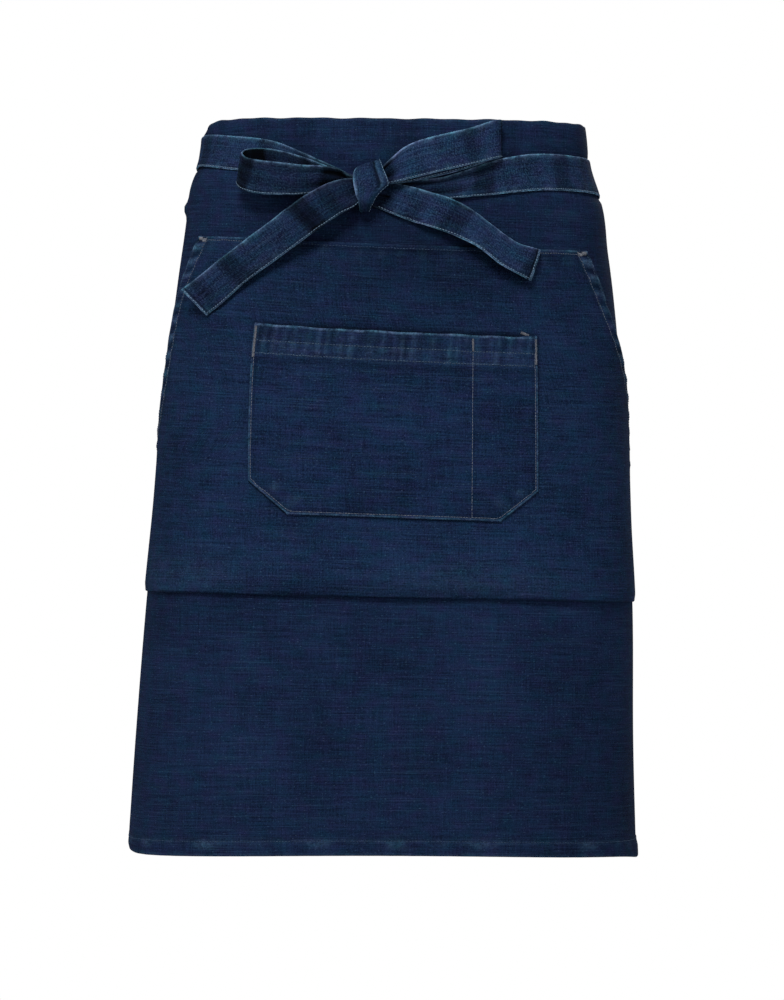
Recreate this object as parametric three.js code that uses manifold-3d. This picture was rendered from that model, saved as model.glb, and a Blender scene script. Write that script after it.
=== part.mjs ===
// A half-length denim waist apron in its worn form. A skirt panel wraps the front and sides of the
// body, a wide pouch with slanted hand openings lies over it, a patch pocket sits on the pouch, and
// two ties run from the back corners, cross behind the waist and are tied in a bow in front.
// Millimetres, +Z up, the front faces -Y. The origin is the middle of the waist, level with the ties.
//
// Every piece is laid out on the flat pattern and then wrapped on the body. A pattern point is
// "along" (round the body from the middle of the front, + to the right), "drop" (below the top edge)
// and "lift" (outwards from the inner face of the skirt panel).

import * as THREE from "three";
import { mergeVertices } from "three/addons/utils/BufferGeometryUtils.js";
import Module from "manifold-3d";

const wasm = await Module();
wasm.setup();

// Cloth
const CLOTH = 1.2; // one layer of denim
const GAP = 0.7; // clearance between layers that lie on each other
const HEM_SLOPE = 0.4; // width of the slope where a doubled hem begins
const TIE_WIDTH = 30;
const TIE_THICK = 2.2; // denim folded into a flat tube

// Skirt panel
const APRON_LENGTH = 618; // top edge to hem
const PANEL_TOP = 780; // cut width along the top edge
const PANEL_HEM = 880; // cut width along the hem
const HEM = 14; // depth of the turned hems
const WAIST_DROP = 40; // level of the ties below the top edge

// Pouch: a wide overlay, sewn along its top, with a hand opening slanting down to each side
const POUCH_TOP = 108; // drop of its top seam
const POUCH_TOP_HALF = 177; // half the length of the top seam
const POUCH_HALF = 292; // half the full width, under the hand openings
const HAND_END = 240; // drop where the hand openings meet the sides
const POUCH_LIP = 402.5; // drop of the folded lower edge
const LIP_DEPTH = 12; // the lower edge is turned under by this much
const LIP_RISE = 72; // the pouch begins to stand off this far above the lower edge
const LIP_SIDES = 0.6; // how far the lip stands off at its ends
const LIP_BULGE = 3.4; // how much more it stands off in the middle
const LIP_ROUND = 0.6; // share of the lip's thickness left at its rounded edge
const POUCH_BELLY = 1.2; // how far the pouch stands off between its seams

// Patch pocket
const POCKET_LEFT = -120;
const POCKET_RIGHT = 123;
const POCKET_TOP = 180;
const POCKET_BOTTOM = 336;
const CHAMFER_WIDE = 33; // cut-off lower corners
const CHAMFER_HIGH = 25;
const POCKET_BAND = 31; // doubled band along the mouth
const POCKET_GAPE = 2.4; // how far the mouth stands open in the middle

// Knot of the bow
const KNOT = { along: -21, drop: 58, lift: 12.4, halfWidth: 16.5, halfHeight: 22.5, halfDepth: 10.6 };
const KNOT_LEAN = 10; // degrees, top towards the right
const KNOT_TAPER = 0.2; // narrower below than above
const KNOT_SQUARENESS = 2.8;
const KNOT_CLEAR = 0.3; // gap left between the knot and the straps that run into it

// Facets
const TURN_STEPS = 120; // steps used to measure half a section
const PROBE = 0.5; // step used to measure slopes of the cloth
const STRAP_PROBE = 0.02; // step between table rows used to measure a strap's run
const STRAP_ACROSS = 3; // facets over the width of a strap

// A table of rows with named columns, read as smooth functions of its first column.
function table(columns, rows) {
  const at = rows.map((row) => row[0]);
  const values = rows.flatMap((row) => row.slice(1));
  const spline = new THREE.CubicInterpolant(at, values, columns.length - 1);
  return (t) => {
    const found = spline.evaluate(t);
    return Object.fromEntries(columns.slice(1).map((name, i) => [name, found[i]]));
  };
}

// The worn form: one row for each level. Centre is a sideways shift, squareness 2 is an ellipse,
// tilt is how much lower the cloth hangs for each millimetre to the right, and sideDrop is how
// much lower it hangs at the sides than in front.
const worn = table(
  ["drop", "centre", "halfWidth", "halfDepth", "squareness", "tilt", "sideDrop"],
  [
    [0, 2.5, 163.5, 115, 2.2, 0.01, -3],
    [34, 2.4, 166.3, 119, 2.2, 0.016, -4],
    [64, 3.0, 176.0, 122.5, 2.25, 0.029, -4],
    [110, 3.7, 183.5, 128, 2.3, 0.04, -5],
    [190, 2.5, 193.0, 136, 2.4, 0.05, -6],
    [260, 0.8, 200.0, 140, 2.45, 0.044, -3],
    [340, -1.2, 204.5, 143, 2.5, 0.034, 0],
    [412, -2.5, 209.7, 146, 2.55, 0.021, 2],
    [520, -5.2, 215.2, 150, 2.6, 0.011, 4.5],
    [APRON_LENGTH, -7.4, 218.7, 153, 2.6, 0.003, 6],
  ],
);

// Half of the section at one level, from the middle of the front to the middle of the back.
function traceLevel(drop) {
  const size = worn(drop);
  const power = size.squareness;
  const x = [];
  const y = [];
  const length = [];
  for (let i = 0; i <= TURN_STEPS; i++) {
    const angle = (Math.PI * i) / TURN_STEPS;
    const wide = Math.abs(Math.sin(angle) / size.halfWidth) ** power;
    const deep = Math.abs(Math.cos(angle) / size.halfDepth) ** power;
    const radius = (wide + deep) ** (-1 / power);
    x.push(radius * Math.sin(angle));
    y.push(-radius * Math.cos(angle));
    length.push(i ? length[i - 1] + Math.hypot(x[i] - x[i - 1], y[i] - y[i - 1]) : 0);
  }
  return { size, x, y, length, girth: 2 * length[TURN_STEPS] };
}

const levels = new Map();
function levelAt(drop) {
  const key = drop.toFixed(3);
  if (!levels.has(key)) levels.set(key, traceLevel(drop));
  return levels.get(key);
}

// The point of the inner face of the skirt at a pattern point. Past the middle of the back it wraps on.
function surface(along, drop) {
  const level = levelAt(drop);
  const wrapped = along - level.girth * Math.round(along / level.girth);
  const reach = Math.abs(wrapped);
  let i = 1;
  while (i < TURN_STEPS && level.length[i] < reach) i++;
  const share = (reach - level.length[i - 1]) / (level.length[i] - level.length[i - 1]);
  const x = Math.sign(wrapped) * THREE.MathUtils.lerp(level.x[i - 1], level.x[i], share);
  const y = THREE.MathUtils.lerp(level.y[i - 1], level.y[i], share);
  const { centre, halfWidth, tilt, sideDrop } = level.size;
  const z = WAIST_DROP - drop - x * tilt - sideDrop * (x / halfWidth) ** 2;
  return new THREE.Vector3(x + centre, y, z);
}

// A pattern point wrapped on the body.
function cloth(along, drop, lift) {
  const across = surface(along + PROBE, drop).sub(surface(along - PROBE, drop));
  const down = surface(along, drop + PROBE).sub(surface(along, drop - PROBE));
  const outwards = down.cross(across).normalize();
  return surface(along, drop).addScaledVector(outwards, lift);
}

// A closed wall between two matching grids of points. Seen from the side of "over", rows run down
// and columns run to the right. Each four-sided facet is split along its shorter diagonal.
function wall(over, under) {
  const rows = over.length;
  const columns = over[0].length;
  const back = rows * columns;
  const points = [...over.flat(), ...under.flat()];
  const at = (row, column) => row * columns + column;
  const index = [];
  const quad = (a, b, c, d) => {
    const straight = points[a].distanceTo(points[c]) <= points[b].distanceTo(points[d]);
    index.push(...(straight ? [a, b, c, a, c, d] : [b, c, d, b, d, a]));
  };
  for (let r = 0; r + 1 < rows; r++) {
    for (let c = 0; c + 1 < columns; c++) {
      const corners = [at(r, c), at(r + 1, c), at(r + 1, c + 1), at(r, c + 1)];
      quad(...corners);
      quad(...corners.map((corner) => back + corner).reverse());
    }
  }
  const rim = [];
  for (let r = 0; r < rows - 1; r++) rim.push(at(r, 0));
  for (let c = 0; c < columns - 1; c++) rim.push(at(rows - 1, c));
  for (let r = rows - 1; r > 0; r--) rim.push(at(r, columns - 1));
  for (let c = columns - 1; c > 0; c--) rim.push(at(0, c));
  rim.forEach((here, i) => {
    const next = rim[(i + 1) % rim.length];
    quad(next, here, back + here, back + next);
  });
  return new THREE.BufferGeometry().setFromPoints(points).setIndex(index);
}

// Values from first to last in equal steps, with any extra values put in their places.
function steps(first, last, count, extra = []) {
  const even = Array.from({ length: count + 1 }, (_, i) => first + ((last - first) * i) / count);
  return [...even, ...extra].sort((a, b) => a - b);
}

// A sewn-on layer: at each drop it runs from left to right, between its two lifts.
function layer({ drops, columns, left, right, under, over }) {
  const grid = (lift) =>
    drops.map((drop) =>
      columns.map((share) => {
        const along = THREE.MathUtils.lerp(left(drop), right(drop), share);
        return cloth(along, drop, lift(along, drop));
      }),
    );
  return wall(grid(over), grid(under));
}

// 1 in the middle, falling smoothly to 0 at a share of -1 and 1.
const bump = (share) => Math.cos((Math.PI / 2) * THREE.MathUtils.clamp(share, -1, 1)) ** 2;

// The skirt panel, with its hem and its side edges turned to the inside.
function skirtPanel() {
  const half = (drop) => THREE.MathUtils.lerp(PANEL_TOP, PANEL_HEM, drop / APRON_LENGTH) / 2;
  const sideHem = HEM / PANEL_TOP;
  const sideSlope = HEM_SLOPE / PANEL_TOP;
  const sideEdges = [sideHem, sideHem + sideSlope, 1 - sideHem - sideSlope, 1 - sideHem];
  const hemTop = APRON_LENGTH - HEM;
  const inHem = (drop) => drop > hemTop - HEM_SLOPE / 2;
  const inSideHem = (along, drop) => Math.abs(along) > half(drop) * (1 - 2 * sideHem - sideSlope);
  const waistRows = steps(0, POUCH_TOP, 7);
  const skirtRows = steps(POUCH_TOP, hemTop - HEM_SLOPE, 8).slice(1);
  return layer({
    drops: [...waistRows, ...skirtRows, hemTop, APRON_LENGTH],
    columns: steps(0, 1, 40, sideEdges),
    left: (drop) => -half(drop),
    right: half,
    under: (along, drop) => (inHem(drop) || inSideHem(along, drop) ? -CLOTH : 0),
    over: () => CLOTH,
  });
}

// How far the outer face of the pouch stands off the skirt, belly and lip included.
const pouchHalf = (drop) => {
  const share = THREE.MathUtils.clamp((drop - POUCH_TOP) / (HAND_END - POUCH_TOP), 0, 1);
  return THREE.MathUtils.lerp(POUCH_TOP_HALF, POUCH_HALF, share);
};
function pouchBelly(along, drop) {
  const sideways = bump(along / pouchHalf(drop));
  const downwards = Math.sin((Math.PI * (drop - POUCH_TOP)) / (POUCH_LIP - POUCH_TOP));
  return POUCH_BELLY * sideways * Math.max(0, downwards);
}
function pouchLip(along, drop) {
  const near = THREE.MathUtils.smoothstep(drop, POUCH_LIP - LIP_RISE, POUCH_LIP - LIP_DEPTH / 3);
  return near * (LIP_SIDES + LIP_BULGE * bump(along / POUCH_HALF));
}
const POUCH_LIFT = CLOTH + GAP;
const pouchOver = (along, drop) => POUCH_LIFT + CLOTH + pouchBelly(along, drop) + pouchLip(along, drop);

// The pouch. Its lower edge is turned under, so the lip is two layers that close on the skirt.
function pouchPanel() {
  const lipTop = POUCH_LIP - LIP_DEPTH;
  const isLip = (drop) => drop > lipTop - HEM_SLOPE / 2;
  const roundOff = (drop) => (drop === POUCH_LIP ? LIP_ROUND : 1);
  const handRows = steps(POUCH_TOP, HAND_END, 9).slice(0, -1);
  const lipRows = [lipTop, POUCH_LIP - LIP_DEPTH / 4, POUCH_LIP];
  return layer({
    drops: [...handRows, ...steps(HAND_END, lipTop - HEM_SLOPE, 6), ...lipRows],
    columns: steps(0, 1, 36),
    left: (drop) => -pouchHalf(drop),
    right: pouchHalf,
    under: (along, drop) => (isLip(drop) ? POUCH_LIFT : pouchOver(along, drop) - CLOTH),
    over: (along, drop) => POUCH_LIFT + (pouchOver(along, drop) - POUCH_LIFT) * roundOff(drop),
  });
}

// The patch pocket, sewn round its sides and bottom, with a doubled band along its open mouth.
function patchPocket() {
  const middle = (POCKET_LEFT + POCKET_RIGHT) / 2;
  const halfWide = (POCKET_RIGHT - POCKET_LEFT) / 2;
  const chamferTop = POCKET_BOTTOM - CHAMFER_HIGH;
  const half = (drop) => {
    const share = Math.max(0, (drop - chamferTop) / CHAMFER_HIGH);
    return halfWide - CHAMFER_WIDE * share;
  };
  const gape = (along, drop) => {
    const open = 1 - (drop - POCKET_TOP) / (POCKET_BOTTOM - POCKET_TOP);
    return POCKET_GAPE * open ** 2 * bump((along - middle) / half(drop));
  };
  const bandEnd = POCKET_TOP + POCKET_BAND;
  const under = (along, drop) => pouchOver(along, drop) + GAP + gape(along, drop);
  const layers = (drop) => (drop < bandEnd + HEM_SLOPE / 2 ? 2 : 1);
  const upperRows = steps(POCKET_TOP, chamferTop, 7, [bandEnd, bandEnd + HEM_SLOPE]);
  return layer({
    drops: [...upperRows, ...steps(chamferTop, POCKET_BOTTOM, 2).slice(1)],
    columns: steps(0, 1, 20),
    left: (drop) => middle - half(drop),
    right: (drop) => middle + half(drop),
    under,
    over: (along, drop) => under(along, drop) + CLOTH * layers(drop),
  });
}

// A strap through the rows of a table. Each row gives the middle of the strap on the pattern, its
// lift, its spread (1 is the full width, less is gathered), its lean (degrees that the lower edge is
// swung to the right) and its roll (how much more the lower edge is lifted). A strap that goes round
// the waist has "turn", its share of the girth, in place of "along".
function strap({ columns, rows, facets }) {
  const numbered = rows.map((row, i) => [i, ...row]);
  const route = table(["at", ...columns], numbered);
  const point = (t, side) => {
    const row = { lean: 0, roll: 0, ...route(t) };
    const swing = THREE.MathUtils.degToRad(row.lean);
    const reach = (side * row.spread * TIE_WIDTH) / 2;
    const drop = row.drop + reach * Math.cos(swing);
    const along = (row.along ?? row.turn * levelAt(drop).girth) + reach * Math.sin(swing);
    return cloth(along, drop, row.lift + side * row.roll);
  };
  const last = rows.length - 1;
  const face = (shift) =>
    steps(-1, 1, STRAP_ACROSS).map((side) =>
      steps(0, last, facets).map((t) => {
        const before = Math.max(0, t - STRAP_PROBE);
        const after = Math.min(last, t + STRAP_PROBE);
        const run = point(after, side).sub(point(before, side));
        const down = point(t, side + STRAP_PROBE).sub(point(t, side - STRAP_PROBE));
        return point(t, side).addScaledVector(down.cross(run).normalize(), shift);
      }),
    );
  return wall(face(TIE_THICK / 2), face(-TIE_THICK / 2));
}

// The knot: a lump of wrapped strap, blunt in front and narrower below.
function knotShape(grow) {
  const geometry = new THREE.SphereGeometry(1, 20, 14);
  const position = geometry.attributes.position;
  const point = new THREE.Vector3();
  for (let i = 0; i < position.count; i++) {
    point.fromBufferAttribute(position, i);
    const sum = [point.x, point.y, point.z].reduce((total, v) => total + Math.abs(v) ** KNOT_SQUARENESS, 0);
    point.multiplyScalar(sum ** (-1 / KNOT_SQUARENESS));
    const taper = 1 + KNOT_TAPER * point.y;
    position.setXYZ(
      i,
      point.x * taper * (KNOT.halfWidth + grow),
      point.y * (KNOT.halfHeight + grow),
      point.z * (KNOT.halfDepth + grow),
    );
  }
  return geometry;
}

// A frame on the cloth at the knot: x to the right, y up and z outwards, turned by the knot's lean.
function knotPlace() {
  const { along, drop, lift } = KNOT;
  const outwards = cloth(along, drop, 1).sub(cloth(along, drop, 0)).normalize();
  const up = cloth(along, drop - PROBE, 0).sub(cloth(along, drop + PROBE, 0)).normalize();
  const right = up.clone().cross(outwards).normalize();
  const turn = new THREE.Matrix4().makeBasis(right, outwards.clone().cross(right), outwards);
  turn.multiply(new THREE.Matrix4().makeRotationZ(-THREE.MathUtils.degToRad(KNOT_LEAN)));
  return turn.setPosition(cloth(along, drop, lift));
}

// Solids for cutting
function solidOf(geometry) {
  const bare = geometry.clone();
  bare.deleteAttribute("normal");
  bare.deleteAttribute("uv");
  const merged = mergeVertices(bare, 1e-4);
  const mesh = new wasm.Mesh({
    numProp: 3,
    vertProperties: new Float32Array(merged.attributes.position.array),
    triVerts: new Uint32Array(merged.index.array),
  });
  return new wasm.Manifold(mesh);
}

function geometryOf(solid) {
  const mesh = solid.getMesh();
  return new THREE.BufferGeometry()
    .setAttribute("position", new THREE.BufferAttribute(mesh.vertProperties, 3))
    .setIndex(new THREE.BufferAttribute(mesh.triVerts, 1));
}

const knotMatrix = knotPlace();
const knotRoom = solidOf(knotShape(KNOT_CLEAR).applyMatrix4(knotMatrix));
const stopAtKnot = (geometry) => geometryOf(solidOf(geometry).subtract(knotRoom));

// The ties. Each starts on the far back corner of the panel, crosses behind the waist, comes round
// its own side and dips, narrowing, into the knot. The right one passes outside at the crossing.
const TIE_COLUMNS = ["turn", "drop", "lift", "spread"];
const tieRight = {
  columns: TIE_COLUMNS,
  rows: [
    [-0.018, 60, 4.0, 0.6],
    [0.022, 59.5, 4.0, 0.67],
    [0.044, 57, 3.8, 0.8],
    [0.067, 52.5, 3.4, 0.93],
    [0.105, 45, 3.3, 1],
    [0.146, 42, 3.3, 1],
    [0.224, 43, 3.3, 1],
    [0.32, 47, 3.3, 1],
    [0.42, 51, 5.6, 1],
    [0.5, 34.5, 5.3, 1],
    [0.58, 18, 5.6, 1],
    [0.612, 17, 4.2, 1],
  ],
  facets: 60,
};
const tieLeft = {
  columns: TIE_COLUMNS,
  rows: [
    [-0.61, 17, 3.3, 1],
    [-0.58, 18, 3.3, 1],
    [-0.5, 34.5, 1.2, 1],
    [-0.42, 51, 3.3, 1],
    [-0.32, 38, 3.3, 1],
    [-0.232, 26, 3.3, 1],
    [-0.159, 29, 3.3, 1],
    [-0.109, 34, 3.3, 1],
    [-0.085, 40, 3.2, 0.97],
    [-0.058, 50, 3.6, 0.83],
    [-0.04, 56.5, 4.0, 0.67],
    [-0.018, 60, 4.0, 0.6],
  ],
  facets: 60,
};

// The loops of the bow: out from the knot close to the ties, round a bend, and back in front.
const BOW_COLUMNS = ["along", "drop", "lift", "spread", "lean", "roll"];
const loopLeft = {
  columns: BOW_COLUMNS,
  rows: [
    [-20, 53, 9.0, 0.47, 0, 0],
    [-41, 51, 8.6, 0.57, 0, 0],
    [-58, 50, 7.8, 0.77, 0, 0],
    [-80, 47, 7.2, 0.97, 0, 0],
    [-106, 44, 7.4, 1, 0, 0],
    [-124, 45, 10.0, 1, 0, 0],
    [-129, 49, 15.0, 1, 0, -1],
    [-124, 53, 20.0, 1, 0, -2],
    [-107, 56, 22.0, 1, 0, -3],
    [-80, 56.5, 20.0, 0.97, 0, -5],
    [-60, 55.5, 16.0, 0.8, 0, -4],
    [-42, 54.5, 13.4, 0.57, 0, -2],
    [-20, 55, 12.8, 0.47, 0, 0],
  ],
  facets: 40,
};
const loopRight = {
  columns: BOW_COLUMNS,
  rows: [
    [-20, 53, 9.6, 0.47, 0, 0],
    [-4, 49, 9.8, 0.6, 0, 0],
    [10, 42, 9.2, 0.87, 0, 0],
    [36, 34, 7.8, 1.03, 0, 0],
    [66, 25.5, 7.4, 1.07, 0, 0],
    [85, 20, 8.2, 1.07, 0, 0],
    [90, 18.5, 11.5, 1.05, 0, 0],
    [85, 18.5, 15.0, 1.05, 0, 0],
    [66, 23.5, 17.4, 1.07, 0, 0],
    [38, 31.7, 18.0, 1.03, 0, 0],
    [12, 38.8, 16.6, 0.97, 0, 0],
    [-3, 48, 14.6, 0.67, 0, 0],
    [-20, 53, 14.0, 0.47, 0, 0],
  ],
  facets: 40,
};

// The free ends: they leave the knot, fall on the skirt and lie across the pouch.
const tailLeft = {
  columns: BOW_COLUMNS,
  rows: [
    [-20, 58, 16.6, 0.6, 34, 0],
    [-34, 64, 17.0, 0.7, 36, 0],
    [-48, 71, 18.2, 0.87, 37, 0],
    [-70, 83.5, 18.0, 0.97, 38, 0],
    [-104, 110, 11.0, 1, 38, 0],
    [-140, 138, 8.6, 1, 40, -1],
    [-181, 169, 11, 1.04, 45, -4.5],
  ],
  facets: 22,
};
const tailRight = {
  columns: BOW_COLUMNS,
  rows: [
    [-20, 62, 6.8, 0.6, -18, 0],
    [-4, 67.5, 6.9, 0.73, -20, 0],
    [20, 75, 7.4, 0.93, -22, 0],
    [46, 83, 8.6, 1, -28, 0],
    [82, 104.5, 9.4, 1, -34, 1.5],
    [119, 122, 7.6, 1, -20, 1],
  ],
  facets: 20,
};

const DENIM = 0x172640;
const apron = new THREE.Group();
apron.name = "waist_apron";
function add(name, geometry, matrix) {
  const denim = new THREE.MeshStandardMaterial({ color: DENIM, roughness: 0.92, metalness: 0 });
  const mesh = new THREE.Mesh(geometry, denim);
  mesh.name = name;
  if (matrix) matrix.decompose(mesh.position, mesh.quaternion, mesh.scale);
  apron.add(mesh);
}

add("skirt_panel", skirtPanel());
add("pouch_panel", pouchPanel());
add("patch_pocket", patchPocket());
add("tie_left", stopAtKnot(strap(tieLeft)));
add("tie_right", stopAtKnot(strap(tieRight)));
add("bow_loop_left", stopAtKnot(strap(loopLeft)));
add("bow_loop_right", stopAtKnot(strap(loopRight)));
add("bow_tail_left", stopAtKnot(strap(tailLeft)));
add("bow_tail_right", stopAtKnot(strap(tailRight)));
add("bow_knot", knotShape(0), knotMatrix);

export default apron;
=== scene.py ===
import math
from types import SimpleNamespace

import bmesh
import bpy
import numpy as np
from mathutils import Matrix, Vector
from mathutils.bvhtree import BVHTree


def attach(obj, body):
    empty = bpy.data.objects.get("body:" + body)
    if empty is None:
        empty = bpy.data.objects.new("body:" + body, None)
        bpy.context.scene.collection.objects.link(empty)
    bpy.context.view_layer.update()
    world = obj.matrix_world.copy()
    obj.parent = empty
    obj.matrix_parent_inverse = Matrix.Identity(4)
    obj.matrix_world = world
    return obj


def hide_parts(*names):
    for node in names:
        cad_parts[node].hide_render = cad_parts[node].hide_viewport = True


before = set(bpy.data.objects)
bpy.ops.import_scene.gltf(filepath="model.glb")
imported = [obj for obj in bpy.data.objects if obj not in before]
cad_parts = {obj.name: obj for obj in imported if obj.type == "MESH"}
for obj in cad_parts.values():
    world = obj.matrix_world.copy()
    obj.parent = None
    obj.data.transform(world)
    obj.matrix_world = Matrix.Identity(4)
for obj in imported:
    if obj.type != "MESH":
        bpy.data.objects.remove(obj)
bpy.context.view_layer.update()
mm = 0.001
scene = bpy.context.scene


def addObject(name, data):
    made = bpy.data.objects.new(name, data)
    scene.collection.objects.link(made)
    return made


# The camera stands straight in front, level with the middle of the apron.
cameraView = {"distance": 4.0, "height": -0.2813, "lens": 165.5, "sensor": 36.0, "farthest": 60.0}


def placeCamera(settings):
    data = bpy.data.cameras.new("frontCamera")
    data.lens = settings["lens"]
    data.sensor_width = settings["sensor"]
    data.clip_end = settings["farthest"]
    camera = addObject("frontCamera", data)
    camera.location = (0.0, -settings["distance"], settings["height"])
    camera.rotation_euler = (math.pi / 2, 0.0, 0.0)
    scene.camera = camera


placeCamera(cameraView)
print("camera placed")

# The worn form, in millimetres: drop below the top edge, sideways shift, half width, half depth,
# squareness (2 is an ellipse), tilt to the right and how much lower the sides hang.
wornForm = {
    "tieLevel": 40.0,
    "levels": [
        (0, 2.5, 163.5, 115, 2.2, 0.01, -3),
        (34, 2.4, 166.3, 119, 2.2, 0.016, -4),
        (64, 3.0, 176.0, 122.5, 2.25, 0.029, -4),
        (110, 3.7, 183.5, 128, 2.3, 0.04, -5),
        (190, 2.5, 193.0, 136, 2.4, 0.05, -6),
        (260, 0.8, 200.0, 140, 2.45, 0.044, -3),
        (340, -1.2, 204.5, 143, 2.5, 0.034, 0),
        (412, -2.5, 209.7, 146, 2.55, 0.021, 2),
        (520, -5.2, 215.2, 150, 2.6, 0.011, 4.5),
        (618, -7.4, 218.7, 153, 2.6, 0.003, 6),
    ],
    "drops": (-40.0, 680.0),  # worked out a little past both edges
    "levelStep": 0.5,
    "turnSteps": 720,
    "probe": 1.5,  # distance over which slopes are measured
}


# Rows of numbers read as smooth curves of their first column.
def smoothTable(rows):
    at = np.array([row[0] for row in rows], float)
    values = np.array([row[1:] for row in rows], float)
    secants = np.diff(values, axis=0) / np.diff(at)[:, None]
    slopes = np.vstack([secants[:1], (secants[:-1] + secants[1:]) / 2, secants[-1:]])

    def read(t):
        t = np.clip(np.asarray(t, float), at[0], at[-1])
        i = np.clip(np.searchsorted(at, t, side="right") - 1, 0, len(at) - 2)
        wide = (at[i + 1] - at[i])[..., None]
        s = (t - at[i])[..., None] / wide
        start = (1 + 2 * s) * (1 - s) ** 2 * values[i] + s * (1 - s) ** 2 * wide * slopes[i]
        end = s * s * (3 - 2 * s) * values[i + 1] + s * s * (s - 1) * wide * slopes[i + 1]
        return start + end

    return read


# Half sections at close levels, each with its points at even steps from the front to the back.
def layOutLevels(form):
    drops = np.arange(*form["drops"], form["levelStep"])
    sizes = smoothTable(form["levels"])(drops)
    angle = np.linspace(0, np.pi, form["turnSteps"] + 1)
    power = sizes[:, 3:4]
    wide = (np.abs(np.sin(angle)) / sizes[:, 1:2]) ** power
    deep = (np.abs(np.cos(angle)) / sizes[:, 2:3]) ** power
    radius = (wide + deep) ** (-1 / power)
    x, y = radius * np.sin(angle), -radius * np.cos(angle)
    steps = np.hypot(np.diff(x, axis=1), np.diff(y, axis=1))
    run = np.hstack([np.zeros((len(drops), 1)), np.cumsum(steps, axis=1)])
    share = np.linspace(0, 1, form["turnSteps"] + 1)
    evenX = np.array([np.interp(share * r[-1], r, row) for r, row in zip(run, x)])
    evenY = np.array([np.interp(share * r[-1], r, row) for r, row in zip(run, y)])
    return {"first": drops[0], "x": evenX, "y": evenY, "girth": 2 * run[:, -1], "sizes": sizes}


levels = layOutLevels(wornForm)


def levelIndex(drop):
    k = np.clip((drop - levels["first"]) / wornForm["levelStep"], 0, len(levels["girth"]) - 1.001)
    i = k.astype(int)
    return i, k - i


def girthAt(drop):
    i, f = levelIndex(np.asarray(drop, float))
    return levels["girth"][i] * (1 - f) + levels["girth"][i + 1] * f


# The inner face of the skirt at pattern points: "along" runs round the body from the middle of the front.
def surfaceAt(along, drop):
    along, drop = np.broadcast_arrays(np.asarray(along, float), np.asarray(drop, float))
    i, f = levelIndex(drop)
    girth = girthAt(drop)
    wrapped = along - girth * np.round(along / girth)
    s = np.abs(wrapped) / (girth / 2) * wornForm["turnSteps"]
    j = np.clip(s.astype(int), 0, wornForm["turnSteps"] - 1)
    g = s - j

    def pick(table):
        upper = table[i, j] * (1 - g) + table[i, j + 1] * g
        lower = table[i + 1, j] * (1 - g) + table[i + 1, j + 1] * g
        return upper * (1 - f) + lower * f

    sizes = levels["sizes"][i] * (1 - f)[..., None] + levels["sizes"][i + 1] * f[..., None]
    centre, halfWidth, tilt, sideDrop = sizes[..., 0], sizes[..., 1], sizes[..., 4], sizes[..., 5]
    x, y = np.sign(wrapped) * pick(levels["x"]), pick(levels["y"])
    z = wornForm["tieLevel"] - drop - x * tilt - sideDrop * (x / halfWidth) ** 2
    return np.stack([x + centre, y, z], -1)


def outward(down, across):
    out = np.cross(down, across)
    return out / np.linalg.norm(out, axis=-1, keepdims=True)


# A pattern point wrapped on the body, with "lift" outwards from the inner face of the skirt.
def cloth(along, drop, lift):
    probe = wornForm["probe"]
    across = surfaceAt(along + probe, drop) - surfaceAt(along - probe, drop)
    down = surfaceAt(along, drop + probe) - surfaceAt(along, drop - probe)
    return surfaceAt(along, drop) + outward(down, across) * np.asarray(lift)[..., None]


def bump(share):
    return np.cos(np.pi / 2 * np.clip(share, -1, 1)) ** 2


def ease(value, low, high):
    s = np.clip((value - low) / (high - low), 0, 1)
    return s * s * (3 - 2 * s)


def ridge(distance, width):
    return np.exp(-((distance / width) ** 2))


# The sum of narrow marks, in rows of distance, where on it the mark is, its width and its amount.
def marks(*rows):
    return sum(amount * ridge(distance - at, width) for distance, at, width, amount in rows)


def crest(value):
    return np.clip(value, 0, 1)


# A wave whose length wanders, and two waves that beat.
def wander(run, wide, sway, swayWide, start=0.0):
    return np.sin(run / wide + sway * np.sin(run / swayWide) + start)


def beat(run, wide, start, otherWide, otherStart):
    return np.sin(run / wide + start) * np.sin(run / otherWide + otherStart)


# Cloth past an edge goes round a fold of this radius and back underneath.
def fold(beyond, lift, radius):
    bend = np.clip(beyond / radius, 0, np.pi)
    back = np.maximum(0, beyond - np.pi * radius)
    return (radius + lift) * np.sin(bend) - back, (radius + lift) * np.cos(bend) - radius


# Close steps round a fold, then wider ones under it, as distances past the edge.
def foldSteps(radius, depth):
    turn = np.linspace(0, np.pi * radius, 7)[1:]
    return np.concatenate([turn, np.linspace(np.pi * radius, depth, 6)[1:]])


def spaced(first, last, step):
    return np.linspace(first, last, max(2, int(round(abs(last - first) / step)) + 1))


# All the values in order, without those that nearly meet.
def merged(*lists, closest=0.12):
    values = np.sort(np.concatenate([np.asarray(v, float) for v in lists]))
    return values[np.concatenate([[True], np.diff(values) > closest])]


def runAlong(points):
    return np.concatenate([[0], np.cumsum(np.linalg.norm(np.diff(points, axis=0), axis=1))])


# Straps come before the skirt, because its cloth swells beside the ties. What a route doesn't say is here.
strapCut = {"width": 30.0, "thick": 2.1, "stitchAt": 0.93, "groove": 0.36, "step": 2.2,
            "tailHem": 3.4, "tailStitch": 2.0}
strapUsual = {
    "round": False,  # True where the rows give shares of the girth
    "outside": 1,  # face that shows, and the face inside a loop
    "inside": 0,
    "pleat": 1.5,  # height and start of the pleats where the strap is drawn in
    "phase": 0.6,
    "knotEnds": (False, False),  # ends that go into the knot, how dark it is there and how far
    "knotShade": 0.4,
    "knotReach": 34,
    # how much darker a whole strap is painted, as shade
    "dye": 0.0,
    "rimWear": (1.0, 0.6),  # upper and lower edge; width and place of the upper one
    "rim": 1.05,
    "rimAt": 0.0,
    "softEnd": 0.0,
    "crease": None,
}
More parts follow.
